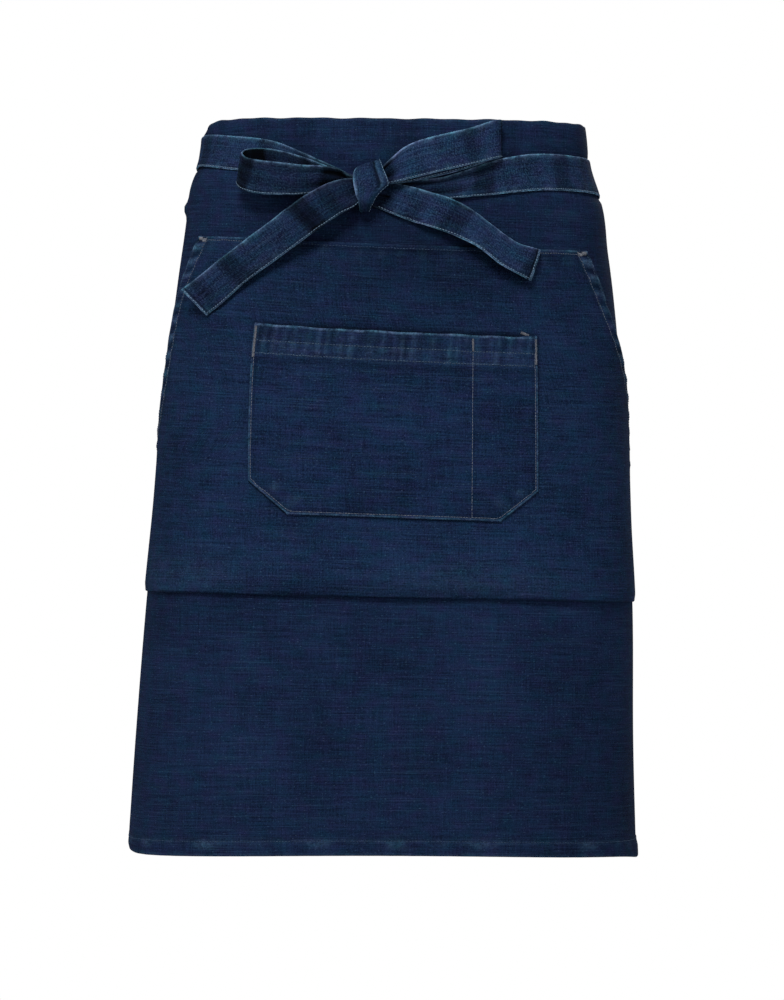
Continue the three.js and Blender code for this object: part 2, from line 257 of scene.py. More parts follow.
# Rows of along or share of the girth, drop, lift, spread, lean in degrees and roll.
strapRoutes = {
    "tieRight": {
        "node": "tie_right", "round": True, "held": "stretched", "rests": ["skirt_panel"],
        "knotEnds": (True, False), "knotReach": 110, "knotShade": 0.6, "rimWear": (0.9, 1.0),
        "rows": [
            (-0.018, 60, 4.0, 0.55), (0.022, 59.5, 4.0, 0.58), (0.042, 58, 3.9, 0.62),
            (0.061, 54.4, 3.7, 0.72), (0.083, 49.8, 3.4, 0.88), (0.108, 45.4, 3.3, 0.97),
            (0.146, 42.3, 3.3, 1), (0.224, 43.5, 3.3, 1), (0.32, 47, 3.3, 1), (0.42, 51, 5.6, 1),
            (0.5, 34.5, 5.3, 1), (0.58, 18, 5.6, 1), (0.612, 17, 4.2, 1)],
    },
    "tieLeft": {
        "node": "tie_left", "round": True, "held": "stretched", "rests": ["skirt_panel"],
        "knotEnds": (False, True), "knotReach": 105, "knotShade": 0.72, "rimWear": (0.75, 0.95), "rim": 0.9,
        "rows": [
            (-0.61, 17, 3.3, 1), (-0.58, 18, 3.3, 1), (-0.5, 34.5, 1.2, 1), (-0.42, 51, 3.3, 1),
            (-0.32, 38, 3.3, 1), (-0.23, 27, 3.3, 1), (-0.157, 30.5, 3.3, 1.03), (-0.116, 34.5, 3.3, 1),
            (-0.085, 43.3, 3.3, 0.91), (-0.069, 48, 3.6, 0.8), (-0.054, 52, 4.0, 0.68),
            (-0.04, 56.5, 4.0, 0.55), (-0.018, 60, 4.0, 0.5)],
    },
    "bowLoopLeft": {
        "node": "bow_loop_left", "held": "folded", "rests": ["bow_knot", "tie_left"],
        "knotEnds": (True, True), "knotShade": 0.5, "pleat": 2.1, "phase": 0.3, "inside": -1, "dye": 0.36,
        "rows": [
            (-20, 57, 8.8, 0.36), (-35.5, 57.5, 8.4, 0.42, 2), (-47.5, 54.5, 8.2, 0.56, 1),
            (-59, 51, 7.8, 0.68, 2), (-75, 48, 7.4, 0.87), (-96, 44, 7.2, 1, -1), (-113, 42.5, 8.6, 1.02, -3),
            (-126.5, 43.7, 11.5, 1.02, -6), (-129.5, 47.5, 15.5, 0.99, -9), (-122.5, 53.5, 19.0, 0.97, -7),
            (-108.5, 56.6, 20.5, 0.98, -2), (-92, 57.3, 20.0, 0.91, -4, -2), (-74.5, 57, 17.8, 0.8, -4, -4.5),
            (-60, 55.3, 15.4, 0.71, -1, -4), (-46.5, 55, 13.6, 0.59, 2, -2), (-34.5, 58.5, 12.6, 0.44, 4),
            (-20, 58, 12.6, 0.38)],
    },
    "bowLoopRight": {
        "node": "bow_loop_right", "held": "folded", "rests": ["bow_knot", "tie_right"],
        "knotEnds": (True, True), "outside": -1, "pleat": 2.0, "phase": 0.9, "inside": 1, "softEnd": 0.7,
        "rows": [
            (-24, 54, 9.4, 0.36), (-13, 52.6, 9.6, 0.42, 2), (-5, 47.7, 9.4, 0.6, -1),
            (7.5, 41.4, 8.4, 0.92, -1), (29, 34.4, 7.6, 1.06), (55.5, 27.4, 7.4, 1.06),
            (77.5, 20.0, 7.6, 1.07, 1), (88, 17.1, 9.8, 1.1), (83, 17.6, 12.2, 1.12, 1),
            (60.5, 24.4, 12.8, 1.05, 1), (36, 30.6, 13.3, 1.04), (18, 35.8, 13.8, 1.03, -2),
            (5.5, 40.8, 14.2, 0.94, -4), (-5.5, 47.4, 14.4, 0.68, -4), (-13, 52.2, 14.0, 0.5, -4),
            (-24, 54, 13.6, 0.4)],
    },
    "bowTailLeft": {
        "node": "bow_tail_left", "held": "hung", "rests": ["bow_knot", "pouch_panel"],
        "knotEnds": (True, False), "outside": -1, "phase": 2.4, "dye": 0.13, "knotReach": 95,
        "rows": [
            (-20, 60, 15.6, 0.5, 12), (-30.7, 63.2, 17.0, 0.65, 15), (-38.2, 67, 18.5, 0.84, 17),
            (-51.3, 73.8, 20.0, 0.94, 21), (-69, 85.9, 18.8, 0.97, 31), (-102.5, 110.6, 12.5, 0.99, 34),
            (-135.5, 134.9, 9.6, 0.98, 38, -1.5), (-158.6, 155.3, 11.4, 0.93, 40, -4.5),
            (-175.2, 167.8, 13.0, 0.86, 41, -7)],
    },
    "bowTailRight": {
        "node": "bow_tail_right", "held": "hung", "rests": ["bow_knot", "pouch_panel"],
        "knotEnds": (True, False), "phase": 2.8, "knotShade": 0.6, "rimWear": (1.0, 1.0),
        "rows": [
            (-24, 63, 6.8, 0.55, -20), (-16, 64.5, 6.8, 0.74, -23), (-2.6, 67.6, 6.9, 0.88, -24),
            (19.2, 74.2, 7.4, 0.97, -21), (41.3, 81, 8.8, 0.97, -22, 1.5), (59.5, 89.5, 10.2, 0.92, -25, 4),
            (74.5, 99.2, 10.8, 0.88, -33, 6.5), (94.3, 112.7, 9.8, 0.91, -36, 5.5),
            (117.4, 121.5, 8.6, 0.97, -22, 2)],
    },
}
strap = SimpleNamespace(**strapCut)


# A grid of cloth: place() turns column and row values into points, wear, tone and pattern coordinates.
def gridOfCloth(columns, rows, place, closed=False):
    bm = bmesh.new()
    bmesh.ops.create_grid(bm, x_segments=len(columns) - 1, y_segments=len(rows) - 1, size=1.0)
    flat = np.array([v.co[:2] for v in bm.verts])
    c = np.rint((flat[:, 0] + 1) / 2 * (len(columns) - 1)).astype(int)
    r = np.rint((1 - flat[:, 1]) / 2 * (len(rows) - 1)).astype(int)
    points, wear, tone, pattern = place(columns[c], rows[r])
    wearLayer = bm.verts.layers.float.new("wear")
    toneLayer = bm.verts.layers.float.new("tone")
    patternLayer = bm.loops.layers.uv.new("pattern")
    for vert, point, worn, shade in zip(bm.verts, points * mm, wear, tone):
        vert.co = point
        vert[wearLayer] = worn
        vert[toneLayer] = shade
    bm.verts.index_update()
    for face in bm.faces:
        face.smooth = True
        for loop in face.loops:
            loop[patternLayer].uv = pattern[loop.vert.index] * mm
    if closed:
        bmesh.ops.remove_doubles(bm, verts=bm.verts, dist=1e-6)
        rim = [edge for edge in bm.edges if edge.is_boundary]
        bmesh.ops.holes_fill(bm, edges=rim, sides=0)
        bmesh.ops.recalc_face_normals(bm, faces=bm.faces)
    return bm


def makeObject(name, bm, materials):
    mesh = bpy.data.meshes.new(name)
    bm.to_mesh(mesh)
    bm.free()
    for material in materials:
        mesh.materials.append(material)
    return addObject(name, mesh)


def colour(red, green, blue):
    linear = [((v / 255 + 0.055) / 1.055) ** 2.4 if v > 10 else v / 255 / 12.92 for v in (red, green, blue)]
    return tuple(linear) + (1.0,)


def addNode(tree, kind, values=None, **settings):
    made = tree.nodes.new(kind)
    for key, value in settings.items():
        setattr(made, key, value)
    for key, value in (values or {}).items():
        if isinstance(value, bpy.types.NodeSocket):
            tree.links.new(value, made.inputs[key])
        else:
            made.inputs[key].default_value = value
    return made


def calc(tree, operation, first, second=0.0, third=0.0, clamp=False):
    values = {0: first, 1: second, 2: third}
    return addNode(tree, "ShaderNodeMath", values, operation=operation, use_clamp=clamp).outputs[0]


def blendColours(tree, factor, first, second):
    values = {0: factor, 6: first, 7: second}
    return addNode(tree, "ShaderNodeMix", values, data_type="RGBA", clamp_factor=True).outputs[2]


def mapRange(tree, value, low, high, toLow=0.0, toHigh=1.0):
    limits = {"Value": value, "From Min": low, "From Max": high, "To Min": toLow, "To Max": toHigh}
    return addNode(tree, "ShaderNodeMapRange", limits, clamp=True).outputs[0]


# Noise stretched to "wide" by "high" millimetres on the pattern, about zero.
def streaks(tree, place, wide, high, detail, shift):
    sizes = {0: place, 1: (1 / wide, 1 / high, 0), 2: (shift, shift * 0.7, 0)}
    scaled = addNode(tree, "ShaderNodeVectorMath", sizes, operation="MULTIPLY_ADD").outputs[0]
    values = {"Vector": scaled, "Scale": 1.0, "Detail": detail}
    noise = addNode(tree, "ShaderNodeTexNoise", values, noise_dimensions="2D")
    return calc(tree, "SUBTRACT", noise.outputs[0], 0.5)


# Noise on the pattern: width and height in mm, detail and shift.
denimNoise = {
    "weftLong": (58.0, 1.15, 2.0, 3.1),
    "weftShort": (17.0, 0.95, 2.0, 17.7),
    "paleWeft": (70.0, 0.95, 1.0, 77.3),
    "warp": (1.0, 26.0, 2.0, 41.3),
    "grain": (1.9, 1.6, 1.0, 8.9),
    "blotch": (15.0, 12.0, 2.0, 12.3),
    "cloud": (75.0, 60.0, 3.0, 23.5),
    "patch": (6.5, 5.0, 2.0, 5.7),
    "fleck": (2.4, 1.0, 0.0, 31.1),
    "hue": (16.0, 11.0, 2.0, 51.9),
    "speck": (0.95, 1.9, 1.0, 63.7),
}
# How it is mixed: amounts, and ranges from which and to which a noise is stretched.
denimMix = {
    "threads": {"weftLong": 1.2, "weftShort": 1.0, "warp": 1.0},
    "twill": 1.8,  # spacing of the twill lines in mm, with their slant, shade and height
    "slant": (1.0, 1.6, 0.0),
    "twillShade": 0.10,
    "twillHeight": 0.22,
    "speckTurn": 0.5,
    "wornGrain": 3.0,
    "speckGrain": 1.4,
    "cloud": 0.75,
    "paleLines": 0.09,
    "fleck": (0.27, 0.38),
    "speck": (0.0, 0.26),
    "paleWeft": (0.08, 0.3),
    "patch": (-0.2, 0.18, 0.3, 1.3),
    "rub": (-0.25, 0.2, 0.6, 1.25),
    "roughness": (0.0, 1.0, 0.82, 0.96),
    "darkest": 0.03,
    "redAndGreen": (-0.9, 0.5),
}


def makeDenimGroup(noises, mix):
    group = bpy.data.node_groups.new("denimWeave", "ShaderNodeTree")
    sockets = [("INPUT", "Vector", ("Place",)), ("INPUT", "Color", ("Deep", "Mid", "Pale")),
               ("INPUT", "Float", ("Wear", "Tone", "Slub", "Grain", "Blotch", "Fleck", "Speck")),
               ("OUTPUT", "Color", ("Color",)), ("OUTPUT", "Float", ("Roughness", "Height"))]
    for way, kind, labels in sockets:
        for label in labels:
            group.interface.new_socket(name=label, in_out=way, socket_type="NodeSocket" + kind)
    given = addNode(group, "NodeGroupInput").outputs

    def product(first, second, plus=0.0):
        return calc(group, "MULTIPLY_ADD", first, second, plus)

    def total(first, second, clamp=False):
        return calc(group, "ADD", first, second, clamp=clamp)

    def ramp(value, label):
        return mapRange(group, value, *mix[label])

    def vector(operation, values, output=0):
        return addNode(group, "ShaderNodeVectorMath", values, operation=operation).outputs[output]

    place = vector("SCALE", {0: given["Place"], "Scale": 1000.0})
    turn = {"Vector": place, "Angle": mix["speckTurn"]}
    turned = addNode(group, "ShaderNodeVectorRotate", turn, rotation_type="Z_AXIS").outputs[0]
    noise = {}
    for label, sizes in noises.items():
        noise[label] = streaks(group, turned if label == "speck" else place, *sizes)
    slant = vector("DOT_PRODUCT", {0: place, 1: mix["slant"]}, "Value")
    twill = calc(group, "SINE", product(slant, 2 * math.pi / mix["twill"]))
    threads = 0.0
    for label, amount in mix["threads"].items():
        threads = product(noise[label], amount, threads)
    weave = product(threads, given["Slub"])
    weave = product(noise["grain"], product(given["Wear"], mix["wornGrain"], given["Grain"]), weave)
    weave = product(noise["speck"], product(given["Grain"], mix["speckGrain"]), weave)
    shade = product(noise["cloud"], mix["cloud"], product(twill, mix["twillShade"], weave))
    shade = total(product(noise["blotch"], given["Blotch"], shade), 0.5, clamp=True)
    base = blendColours(group, shade, given["Deep"], given["Mid"])
    specks = product(ramp(noise["fleck"], "fleck"), given["Fleck"])
    specks = product(ramp(noise["speck"], "speck"), given["Speck"], specks)
    specks = product(product(ramp(noise["paleWeft"], "paleWeft"), given["Slub"]), mix["paleLines"], specks)
    worn = product(given["Wear"], ramp(noise["patch"], "patch"))
    rubbed = product(worn, ramp(noise["grain"], "rub"))
    washed = blendColours(group, total(rubbed, specks, clamp=True), base, given["Pale"])
    depth = calc(group, "MAXIMUM", total(given["Tone"], 1.0), mix["darkest"])
    toned = vector("SCALE", {0: washed, "Scale": depth})
    red, green = [product(noise["hue"], amount, 1.0) for amount in mix["redAndGreen"]]
    tint = addNode(group, "ShaderNodeCombineXYZ", {0: red, 1: green, 2: 1.0}).outputs[0]
    height = product(twill, mix["twillHeight"], total(weave, specks))
    addNode(group, "NodeGroupOutput", {"Color": vector("MULTIPLY", {0: toned, 1: tint}),
                                       "Roughness": ramp(shade, "roughness"), "Height": height})
    return group


denimWeave = makeDenimGroup(denimNoise, denimMix)

# Colours as red, green and blue of 255; slub, grain, blotch, fleck and speck are amounts.
denimKinds = {
    "panelDenim": {"Deep": (10, 20, 41), "Mid": (26, 42, 73), "Pale": (78, 110, 140),
                   "Slub": 0.8, "Grain": 0.46, "Blotch": 0.34, "Fleck": 0.2, "Speck": 0.02},
    "pouchDenim": {"Deep": (9, 21, 42), "Mid": (26, 44, 76), "Pale": (78, 110, 140),
                   "Slub": 0.9, "Grain": 0.62, "Blotch": 0.34, "Fleck": 0.22, "Speck": 0.04},
    "pocketDenim": {"Deep": (9, 20, 41), "Mid": (26, 43, 76), "Pale": (80, 112, 140),
                    "Slub": 0.9, "Grain": 0.62, "Blotch": 0.44, "Fleck": 0.22, "Speck": 0.04},
    "tieDenim": {"Deep": (8, 17, 37), "Mid": (29, 47, 80), "Pale": (96, 131, 163),
                 "Slub": 0.85, "Grain": 0.45, "Blotch": 0.8, "Fleck": 0.14, "Speck": 0.14},
    "insideDenim": {"Deep": (34, 47, 70), "Mid": (66, 83, 108), "Pale": (120, 134, 148),
                    "Slub": 1.0, "Grain": 0.4, "Blotch": 0.3, "Fleck": 0.2, "Speck": 0.05},
}
# Relief as strength and depth, and shine.
surfaceLook = {"denim": (0.5, 0.0004, 0.03), "thread": (0.4, 0.0002, 0.1)}


def startMaterial(name):
    material = bpy.data.materials.new(name)
    material.use_nodes = True
    material.node_tree.nodes.clear()
    return material


def finishMaterial(material, tint, roughness, height, look):
    tree = material.node_tree
    strength, depth, shine = surfaceLook[look]
    relief = addNode(tree, "ShaderNodeBump", {"Height": height, "Strength": strength, "Distance": depth})
    values = {"Base Color": tint, "Roughness": roughness, "Normal": relief.outputs[0]}
    shader = addNode(tree, "ShaderNodeBsdfPrincipled", {**values, "Specular IOR Level": shine})
    addNode(tree, "ShaderNodeOutputMaterial", {"Surface": shader.outputs[0]})
    return material


def makeDenim(name, kind):
    material = startMaterial(name)
    tree = material.node_tree
    values = {label: colour(*value) if isinstance(value, tuple) else value for label, value in kind.items()}
    values["Place"] = addNode(tree, "ShaderNodeUVMap", uv_map="pattern").outputs["UV"]
    for label in ("Wear", "Tone"):
        values[label] = addNode(tree, "ShaderNodeAttribute", attribute_name=label.lower()).outputs["Fac"]
    weave = addNode(tree, "ShaderNodeGroup", values, node_tree=denimWeave).outputs
    return finishMaterial(material, weave["Color"], weave["Roughness"], weave["Height"], "denim")


# Thread colours, from dark to light.
threadKinds = {
    "tieThread": ((84, 108, 134), (124, 148, 170)),
    "seamThread": ((38, 54, 78), (66, 84, 108)),
    "pocketThread": ((76, 86, 102), (116, 123, 135)),
    "bandThread": ((54, 70, 92), (88, 106, 126)),
    "tackThread": ((82, 86, 97), (121, 123, 131)),
}
# Noise as scale and detail, and the ranges it is stretched to.
threadLook = {"tint": (420.0, 2.0), "tintRange": (0.32, 0.68),
              "twist": (2600.0, 1.0), "roughness": (0.3, 0.7, 0.6, 0.8)}


def makeThread(name, dark, light):
    material = startMaterial(name)
    tree = material.node_tree
    where = addNode(tree, "ShaderNodeTexCoord").outputs["Object"]

    def noise(label):
        scale, detail = threadLook[label]
        values = {"Vector": where, "Scale": scale, "Detail": detail}
        return addNode(tree, "ShaderNodeTexNoise", values).outputs[0]

    share = mapRange(tree, noise("tint"), *threadLook["tintRange"])
    tint = blendColours(tree, share, colour(*dark), colour(*light))
    twist = noise("twist")
    return finishMaterial(material, tint, mapRange(tree, twist, *threadLook["roughness"]), twist, "thread")


looks = {name: makeDenim(name, kind) for name, kind in denimKinds.items()}
looks.update({name: makeThread(name, *shades) for name, shades in threadKinds.items()})
print("materials made")


# One layer of cloth, its middle above the inner face, the radius of a fold and the share of the
# columns that lie in the margin along an edge.
clothRules = {"thick": 1.1, "middle": 0.6, "turn": 0.62, "marginShare": 0.1}
softWaves = [(0.9, 61.0, 95.0, 0.4), (0.7, 37.0, -120.0, 2.1), (0.5, 24.0, 66.0, 4.0), (0.5, 90.0, 41.0, 1.2)]
rules = SimpleNamespace(**clothRules)


# Columns run from -1 to 1 between the side edges, and past them in metres of cloth that is folded under.
def pastSide(q):
    beyond = np.maximum(0, np.abs(q) - 1) * 1000
    reach, lift = fold(beyond, 0.0, rules.turn)
    return beyond, reach, lift


# Distance of a column from the middle, with close columns in the margin.
def insideAt(q, half, margin):
    share = np.minimum(np.abs(q), 1)
    middle = share / (1 - rules.marginShare) * (half - margin)
    return np.where(share < 1 - rules.marginShare, middle, half - (1 - share) / rules.marginShare * margin)


def allColumns(middle, edge, depth):
    past = foldSteps(rules.turn, depth) * mm
    return np.sort(np.concatenate([middle, edge, -edge, 1 + past, -1 - past]))


# Even columns in the middle, and those at the given distances from the edge.
def marginColumns(cut, half, fromEdge, depth):
    most = 1 - rules.marginShare
    middle = np.linspace(-most, most, int(2 * half / cut.step) + 1)
    return allColumns(middle, 1 - np.array(fromEdge) / (cut.margin / rules.marginShare), depth)


def patternAt(q, across, v, shift):
    return np.stack([np.sign(q) * across + shift[0], -v - shift[1]], -1)


# Between a folded edge and the stitches beside it the cloth is twisted into ridges.
def withinHem(distance, stitch):
    return ease(distance, stitch + 1, stitch - 3)


def roping(run, across, spacing):
    slant = run + across * 0.9
    return wander(slant, spacing / (2 * np.pi), 0.8, 31.0) * (0.7 + 0.3 * np.sin(slant / 19.0))


def settle(piece, node=None):
    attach(piece, "root")
    if node:
        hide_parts(node)


# A panel gets its thickness in millimetres.
def makePanel(name, node, bm, look, thick):
    piece = makeObject(name, bm, [looks[look], looks["insideDenim"]])
    wall = piece.modifiers.new("thickness", "SOLIDIFY")
    wall.thickness = thick * mm
    wall.offset = 0.0
    wall.use_quality_normals = True
    wall.material_offset = 1
    settle(piece, node)
    return piece


skirtCut = {
    "length": 618.0,
    "topWidth": 780.0,
    "hemWidth": 880.0,
    "hem": 15.0,
    "facing": 24.0,  # turned inside along the top edge
    "hemStitch": 11.3,  # above the hem edge
    "sideStitch": 11.5,
    "cinch": 2.2,  # swelling above and below the ties
    "leftSide": -0.25,  # share of the girth at the left of the outline
    "topDip": 3.5,  # top edge at the left side: how much lower, and how far it leans in
    "topLean": 4.5,
    "hemCorner": 12.0,  # how much higher the hem is at the left side
    "rightSide": 0.245,
    "hemRight": 4.6,  # how much lower the hem is at the right side, and how far it stands out
    "hemFlare": 1.6,
    "pinch": 3.4,  # small fold at the left side below the ties, and its drop
    "pinchDrop": 79.0,
    "step": 4.3,
    "pattern": (0.0, 0.0),  # where it lies in the weave
}
skirt = SimpleNamespace(**skirtCut)
tieRows = strapRoutes["tieLeft"]["rows"][3:-1] + strapRoutes["tieRight"]["rows"][1:10]
tieLine = np.array([row[:2] for row in tieRows]).T


def skirtRipple(along, drop):
    calm = 0.35 + 0.65 * ease(drop, 90, 330)
    soft = sum(size * np.sin(along / wide + drop / high + start) for size, wide, high, start in softWaves)
    return soft * calm * 0.8


def skirtHalf(drop):
    return (skirt.topWidth + (skirt.hemWidth - skirt.topWidth) * drop / skirt.length) / 2


# Where the ties draw the cloth in, it swells beside them.
def swelling(along, drop):
    share = along / girthAt(drop)
    away = np.abs(drop - np.interp(share, *tieLine))
    left = share - skirt.leftSide
    pinch = skirt.pinch * ridge(left, 0.025) * ridge(drop - skirt.pinchDrop, 5.5)
    lean = skirt.topLean * ridge(left, 0.06) * ease(drop, 15, 0) ** 1.5
    return skirt.cinch * ease(away, 13, 21) * ease(away, 62, 24) + pinch - lean


# Painted shade round the middle of the bow, where the bow shades the cloth.
def paintedShadeUnderBow(along, drop):
    wide = ridge(along - 15, 115.0) * ridge(drop - 112, 55.0)
    return wide + 1.3 * ridge(along - 6, 30.0) * ridge(drop - 60, 11.0)


def skirtPlace(q, v):
    level = np.clip(v, 0, skirt.length)
    half = skirtHalf(level)
    inside = np.minimum(np.abs(q), 1) * half
    beyondSide, reach, lift = pastSide(q)
    along = np.sign(q) * (inside + reach)
    radius = rules.turn + 1.3 * ease(np.abs(along), half - skirt.hem - 9, half - skirt.hem - 1)
    reachHem, lift = fold(v - skirt.length, lift, radius)
    reachTop, lift = fold(-v, lift, radius)
    drop = level + reachHem - reachTop
    fromHem = skirt.length - drop
    fromSide = skirtHalf(drop) - np.abs(along)
    inHem = withinHem(fromHem, skirt.hemStitch)
    inSide = withinHem(fromSide, skirt.sideStitch)
    ropes = roping(along, fromHem, 21.0)
    sideRopes = roping(drop, fromSide, 23.0)
    raised = 0.36 * ropes * inHem + 0.4 * sideRopes * inSide
    raised += marks((fromHem, skirt.hemStitch, 1.5, -0.30), (fromSide, skirt.sideStitch, 1.5, -0.28))
    share = along / girthAt(drop)
    left = share - skirt.leftSide
    dip = skirt.topDip * ridge(left, 0.05) * ease(drop, 30, 0)
    dip += 0.55 * beat(along, 5.7, 0.0, 19.0, 0.7) * ease(drop, 12, 0)
    behind = np.where(left < -0.012, 0.10, 0.034)
    dip -= skirt.hemCorner * ridge(left + 0.012, behind) * ease(fromHem, 34, 0)
    right = ridge(share - skirt.rightSide, 0.045)
    dip += skirt.hemRight * right * ease(fromHem, 40, 0)
    raised += skirt.hemFlare * right * ease(fromHem, 17, 9)
    height = rules.middle + lift + raised + skirtRipple(along, drop) + swelling(along, drop)
    points = cloth(along, drop + dip, height)
    patches = crest(wander(along, 8.3, 1.4, 37.0) * np.sin(along / 27.0 + 1.0))
    wear = 0.24 * crest(sideRopes) * inSide
    wear += marks((fromHem, skirt.hemStitch - 2.6, 3.6, 0.2 * patches), (fromHem, skirt.hemStitch, 2.2, 0.06),
                  (fromHem, 0, 1.2, 0.10), (fromSide, 0, 1.5, 0.2), (drop, 0, 1.4, 0.10))
    tone = marks((fromHem, skirt.hemStitch + 2.5, 2.0, -0.10))
    # Painted shade in the valleys of the roping along the hem and sides.
    tone -= 0.12 * crest(-ropes) * inHem + 0.12 * crest(-sideRopes) * inSide
    # Painted shade under the bow.
    tone -= 0.33 * paintedShadeUnderBow(along, drop)
    tone -= 0.2 * ease(beat(along, 9.5, 0.6, 24.0, 1.1), 0.0, 0.8) * ease(drop, 62, 30)
    # Painted shade: the lower right of the skirt is darker, as if lit less.
    tone -= 0.14 * ease(along, 60, 230) * ease(drop, 430, 590)
    return points, wear, tone, patternAt(q, inside + beyondSide, v, skirt.pattern)


# Columns and rows stand closer beside the stitches and folds.
def makeSkirt(cut):
    middle = np.linspace(-1, 1, int(cut.hemWidth / cut.step) + 1)
    edge = 1 - np.array([0.6, 1.4, 3.0, 6.0, 9.0, 10.3, 11.5, 12.7, 15.0]) / (cut.topWidth / 2 + 20)
    hemMarks = np.array([0.7, 1.6, 3.0, 5.0, 7.5, 10, 11.4, 12.2, 13, 13.8, 14.6, 16.5, 19])
    rows = merged(-foldSteps(rules.turn, cut.facing), spaced(0, cut.length, cut.step), [0.7, 1.6],
                  cut.length - hemMarks, cut.length + foldSteps(rules.turn, cut.hem))
    bm = gridOfCloth(allColumns(middle, edge, cut.hem), rows, skirtPlace)
    return makePanel("skirtPanel", "skirt_panel", bm, "panelDenim", rules.thick)


skirtPanel = makeSkirt(skirt)
print("skirt panel made")

pocketCut = {
    "left": -118.0,
    "right": 121.5,
    "top": 182.0,
    "bottom": 335.5,
    "chamferWide": 32.0,
    "chamferHigh": 26.0,
    "slope": 4.0,  # how much further right the right side is at the bottom
    "bow": 2.6,  # how far the left side bows out
    "band": 25.0,
    "gape": 4.2,  # how far the mouth stands open
    "turned": 9.0,  # seam allowance folded under
    "edgeStitch": 1.4,
    "penStitch": 66.0,
    "bandRows": (12.8, 23.2),
    "margin": 10.0,
    "step": 2.0,
    "pattern": (3100, 700),
}
pocket = SimpleNamespace(**pocketCut)
pocketMiddleAlong = (pocket.left + pocket.right) / 2
pocketReach = (pocket.right - pocket.left) / 2
chamferTop = pocket.bottom - pocket.chamferHigh
chamferLong = math.hypot(pocket.chamferWide, pocket.chamferHigh)


def pocketHalf(drop):
    return pocketReach - pocket.chamferWide * crest((drop - chamferTop) / pocket.chamferHigh)


def downPocket(drop):
    return (drop - pocket.top) / (pocket.bottom - pocket.top)


# The right side and the pen stitch lean a little, and the left side bows out.
def pocketSlope(along, drop):
    down = downPocket(drop)
    right = (along - pocket.left) / (2 * pocketReach)
    bow = pocket.bow * np.sin(np.pi * crest(down) ** 0.75) * np.clip(1 - right, 0, 1.1) ** 2
    return along + pocket.slope * (down - 0.5) * right - bow


# Distance outside the sewn outline, negative inside it.
def outsidePocket(along, drop):
    across = np.abs(along - pocketMiddleAlong) - pocketReach
    corner = (across + pocket.chamferWide) / pocket.chamferWide + (drop - chamferTop) / pocket.chamferHigh - 1
    corner *= pocket.chamferWide * pocket.chamferHigh / chamferLong
    return np.maximum(np.maximum(across, drop - pocket.bottom), corner)


pouchCut = {
    "top": 107.5,
    "topHalf": 181.0,
    "topShift": -5.0,  # the panel sits a little off the middle
    "lowShift": 17.0,
    "half": 292.0,
    "handEnd": 296.0,
    "lip": 402.5,
    "lipUnder": 30.0,  # turned up behind the lower edge
    "lipTurn": 0.72,  # smallest radius of that fold
    "lipRise": 72.0,
    "lipSides": 0.2,
    "lipBulge": 3.4,
    "lipRoll": 1.2,  # how far the middle of the lip curls in again
    "lift": 3.15,  # middle of its cloth above the inner face of the skirt
    "belly": 1.2,
    "handHem": 11.5,
    "handStitch": 1.9,
    "topTurn": 11.0,
    "topStitch": 2.2,
    "sideStitch": 2.4,
    "handGape": 2.2,  # how far the hand openings stand off the skirt
    "margin": 24.0,
    "step": 3.4,
    "pattern": (1500, 300),
}
pouch = SimpleNamespace(**pouchCut)
handHigh = pouch.handEnd - pouch.top
handSlant = math.hypot(handHigh, pouch.half - pouch.topHalf)


def handShare(drop):
    return crest((drop - pouch.top) / handHigh)


def slantedAt(drop):
    return ease(drop, pouch.handEnd + 4, pouch.handEnd - 4)


def pouchHalf(drop):
    return pouch.topHalf + (pouch.half - pouch.topHalf) * handShare(drop)


def pouchShift(drop):
    change = (pouch.lowShift - pouch.topShift) * ease(drop, 145, 256)
    return (pouch.topShift + change) * ease(drop, pouch.handEnd + 4, 262)


# Distance inside the slanted or upright side edge, square to it.
def insidePouchEdge(along, drop):
    square = 1 - slantedAt(drop) * (1 - handHigh / handSlant)
    return (pouchHalf(drop) - np.abs(along - pouchShift(drop))) * square


def lipMiddle(along):
    return ease(along, -165, -105) * ease(along, 125, 85)


def pouchLip(along, drop):
    near = ease(drop, pouch.lip - pouch.lipRise, pouch.lip - 4)
    tucked = ease(drop, pouch.lip - 7, pouch.lip) * ease(np.abs(along), 205, 245)
    rolled = lipMiddle(along) * ease(drop, pouch.lip - 15, pouch.lip)
    bulge = pouch.lipSides + pouch.lipBulge * bump(along / pouch.half)
    return near * bulge - 0.9 * tucked - pouch.lipRoll * rolled


# Middle of the pouch cloth above the inner face of the skirt, without its stitching.
def pouchMiddle(along, drop):
    sideways = bump(along / pouchHalf(drop))
    downwards = np.sin(np.pi * crest((drop - pouch.top) / (pouch.lip - pouch.top)))
    gape = pouch.handGape * np.sin(np.pi * handShare(drop)) * ridge(insidePouchEdge(along, drop), 26.0)
    belly = pouch.belly * sideways * downwards
    return pouch.lift + belly + pouchLip(along, drop) + gape + skirtRipple(along, drop)


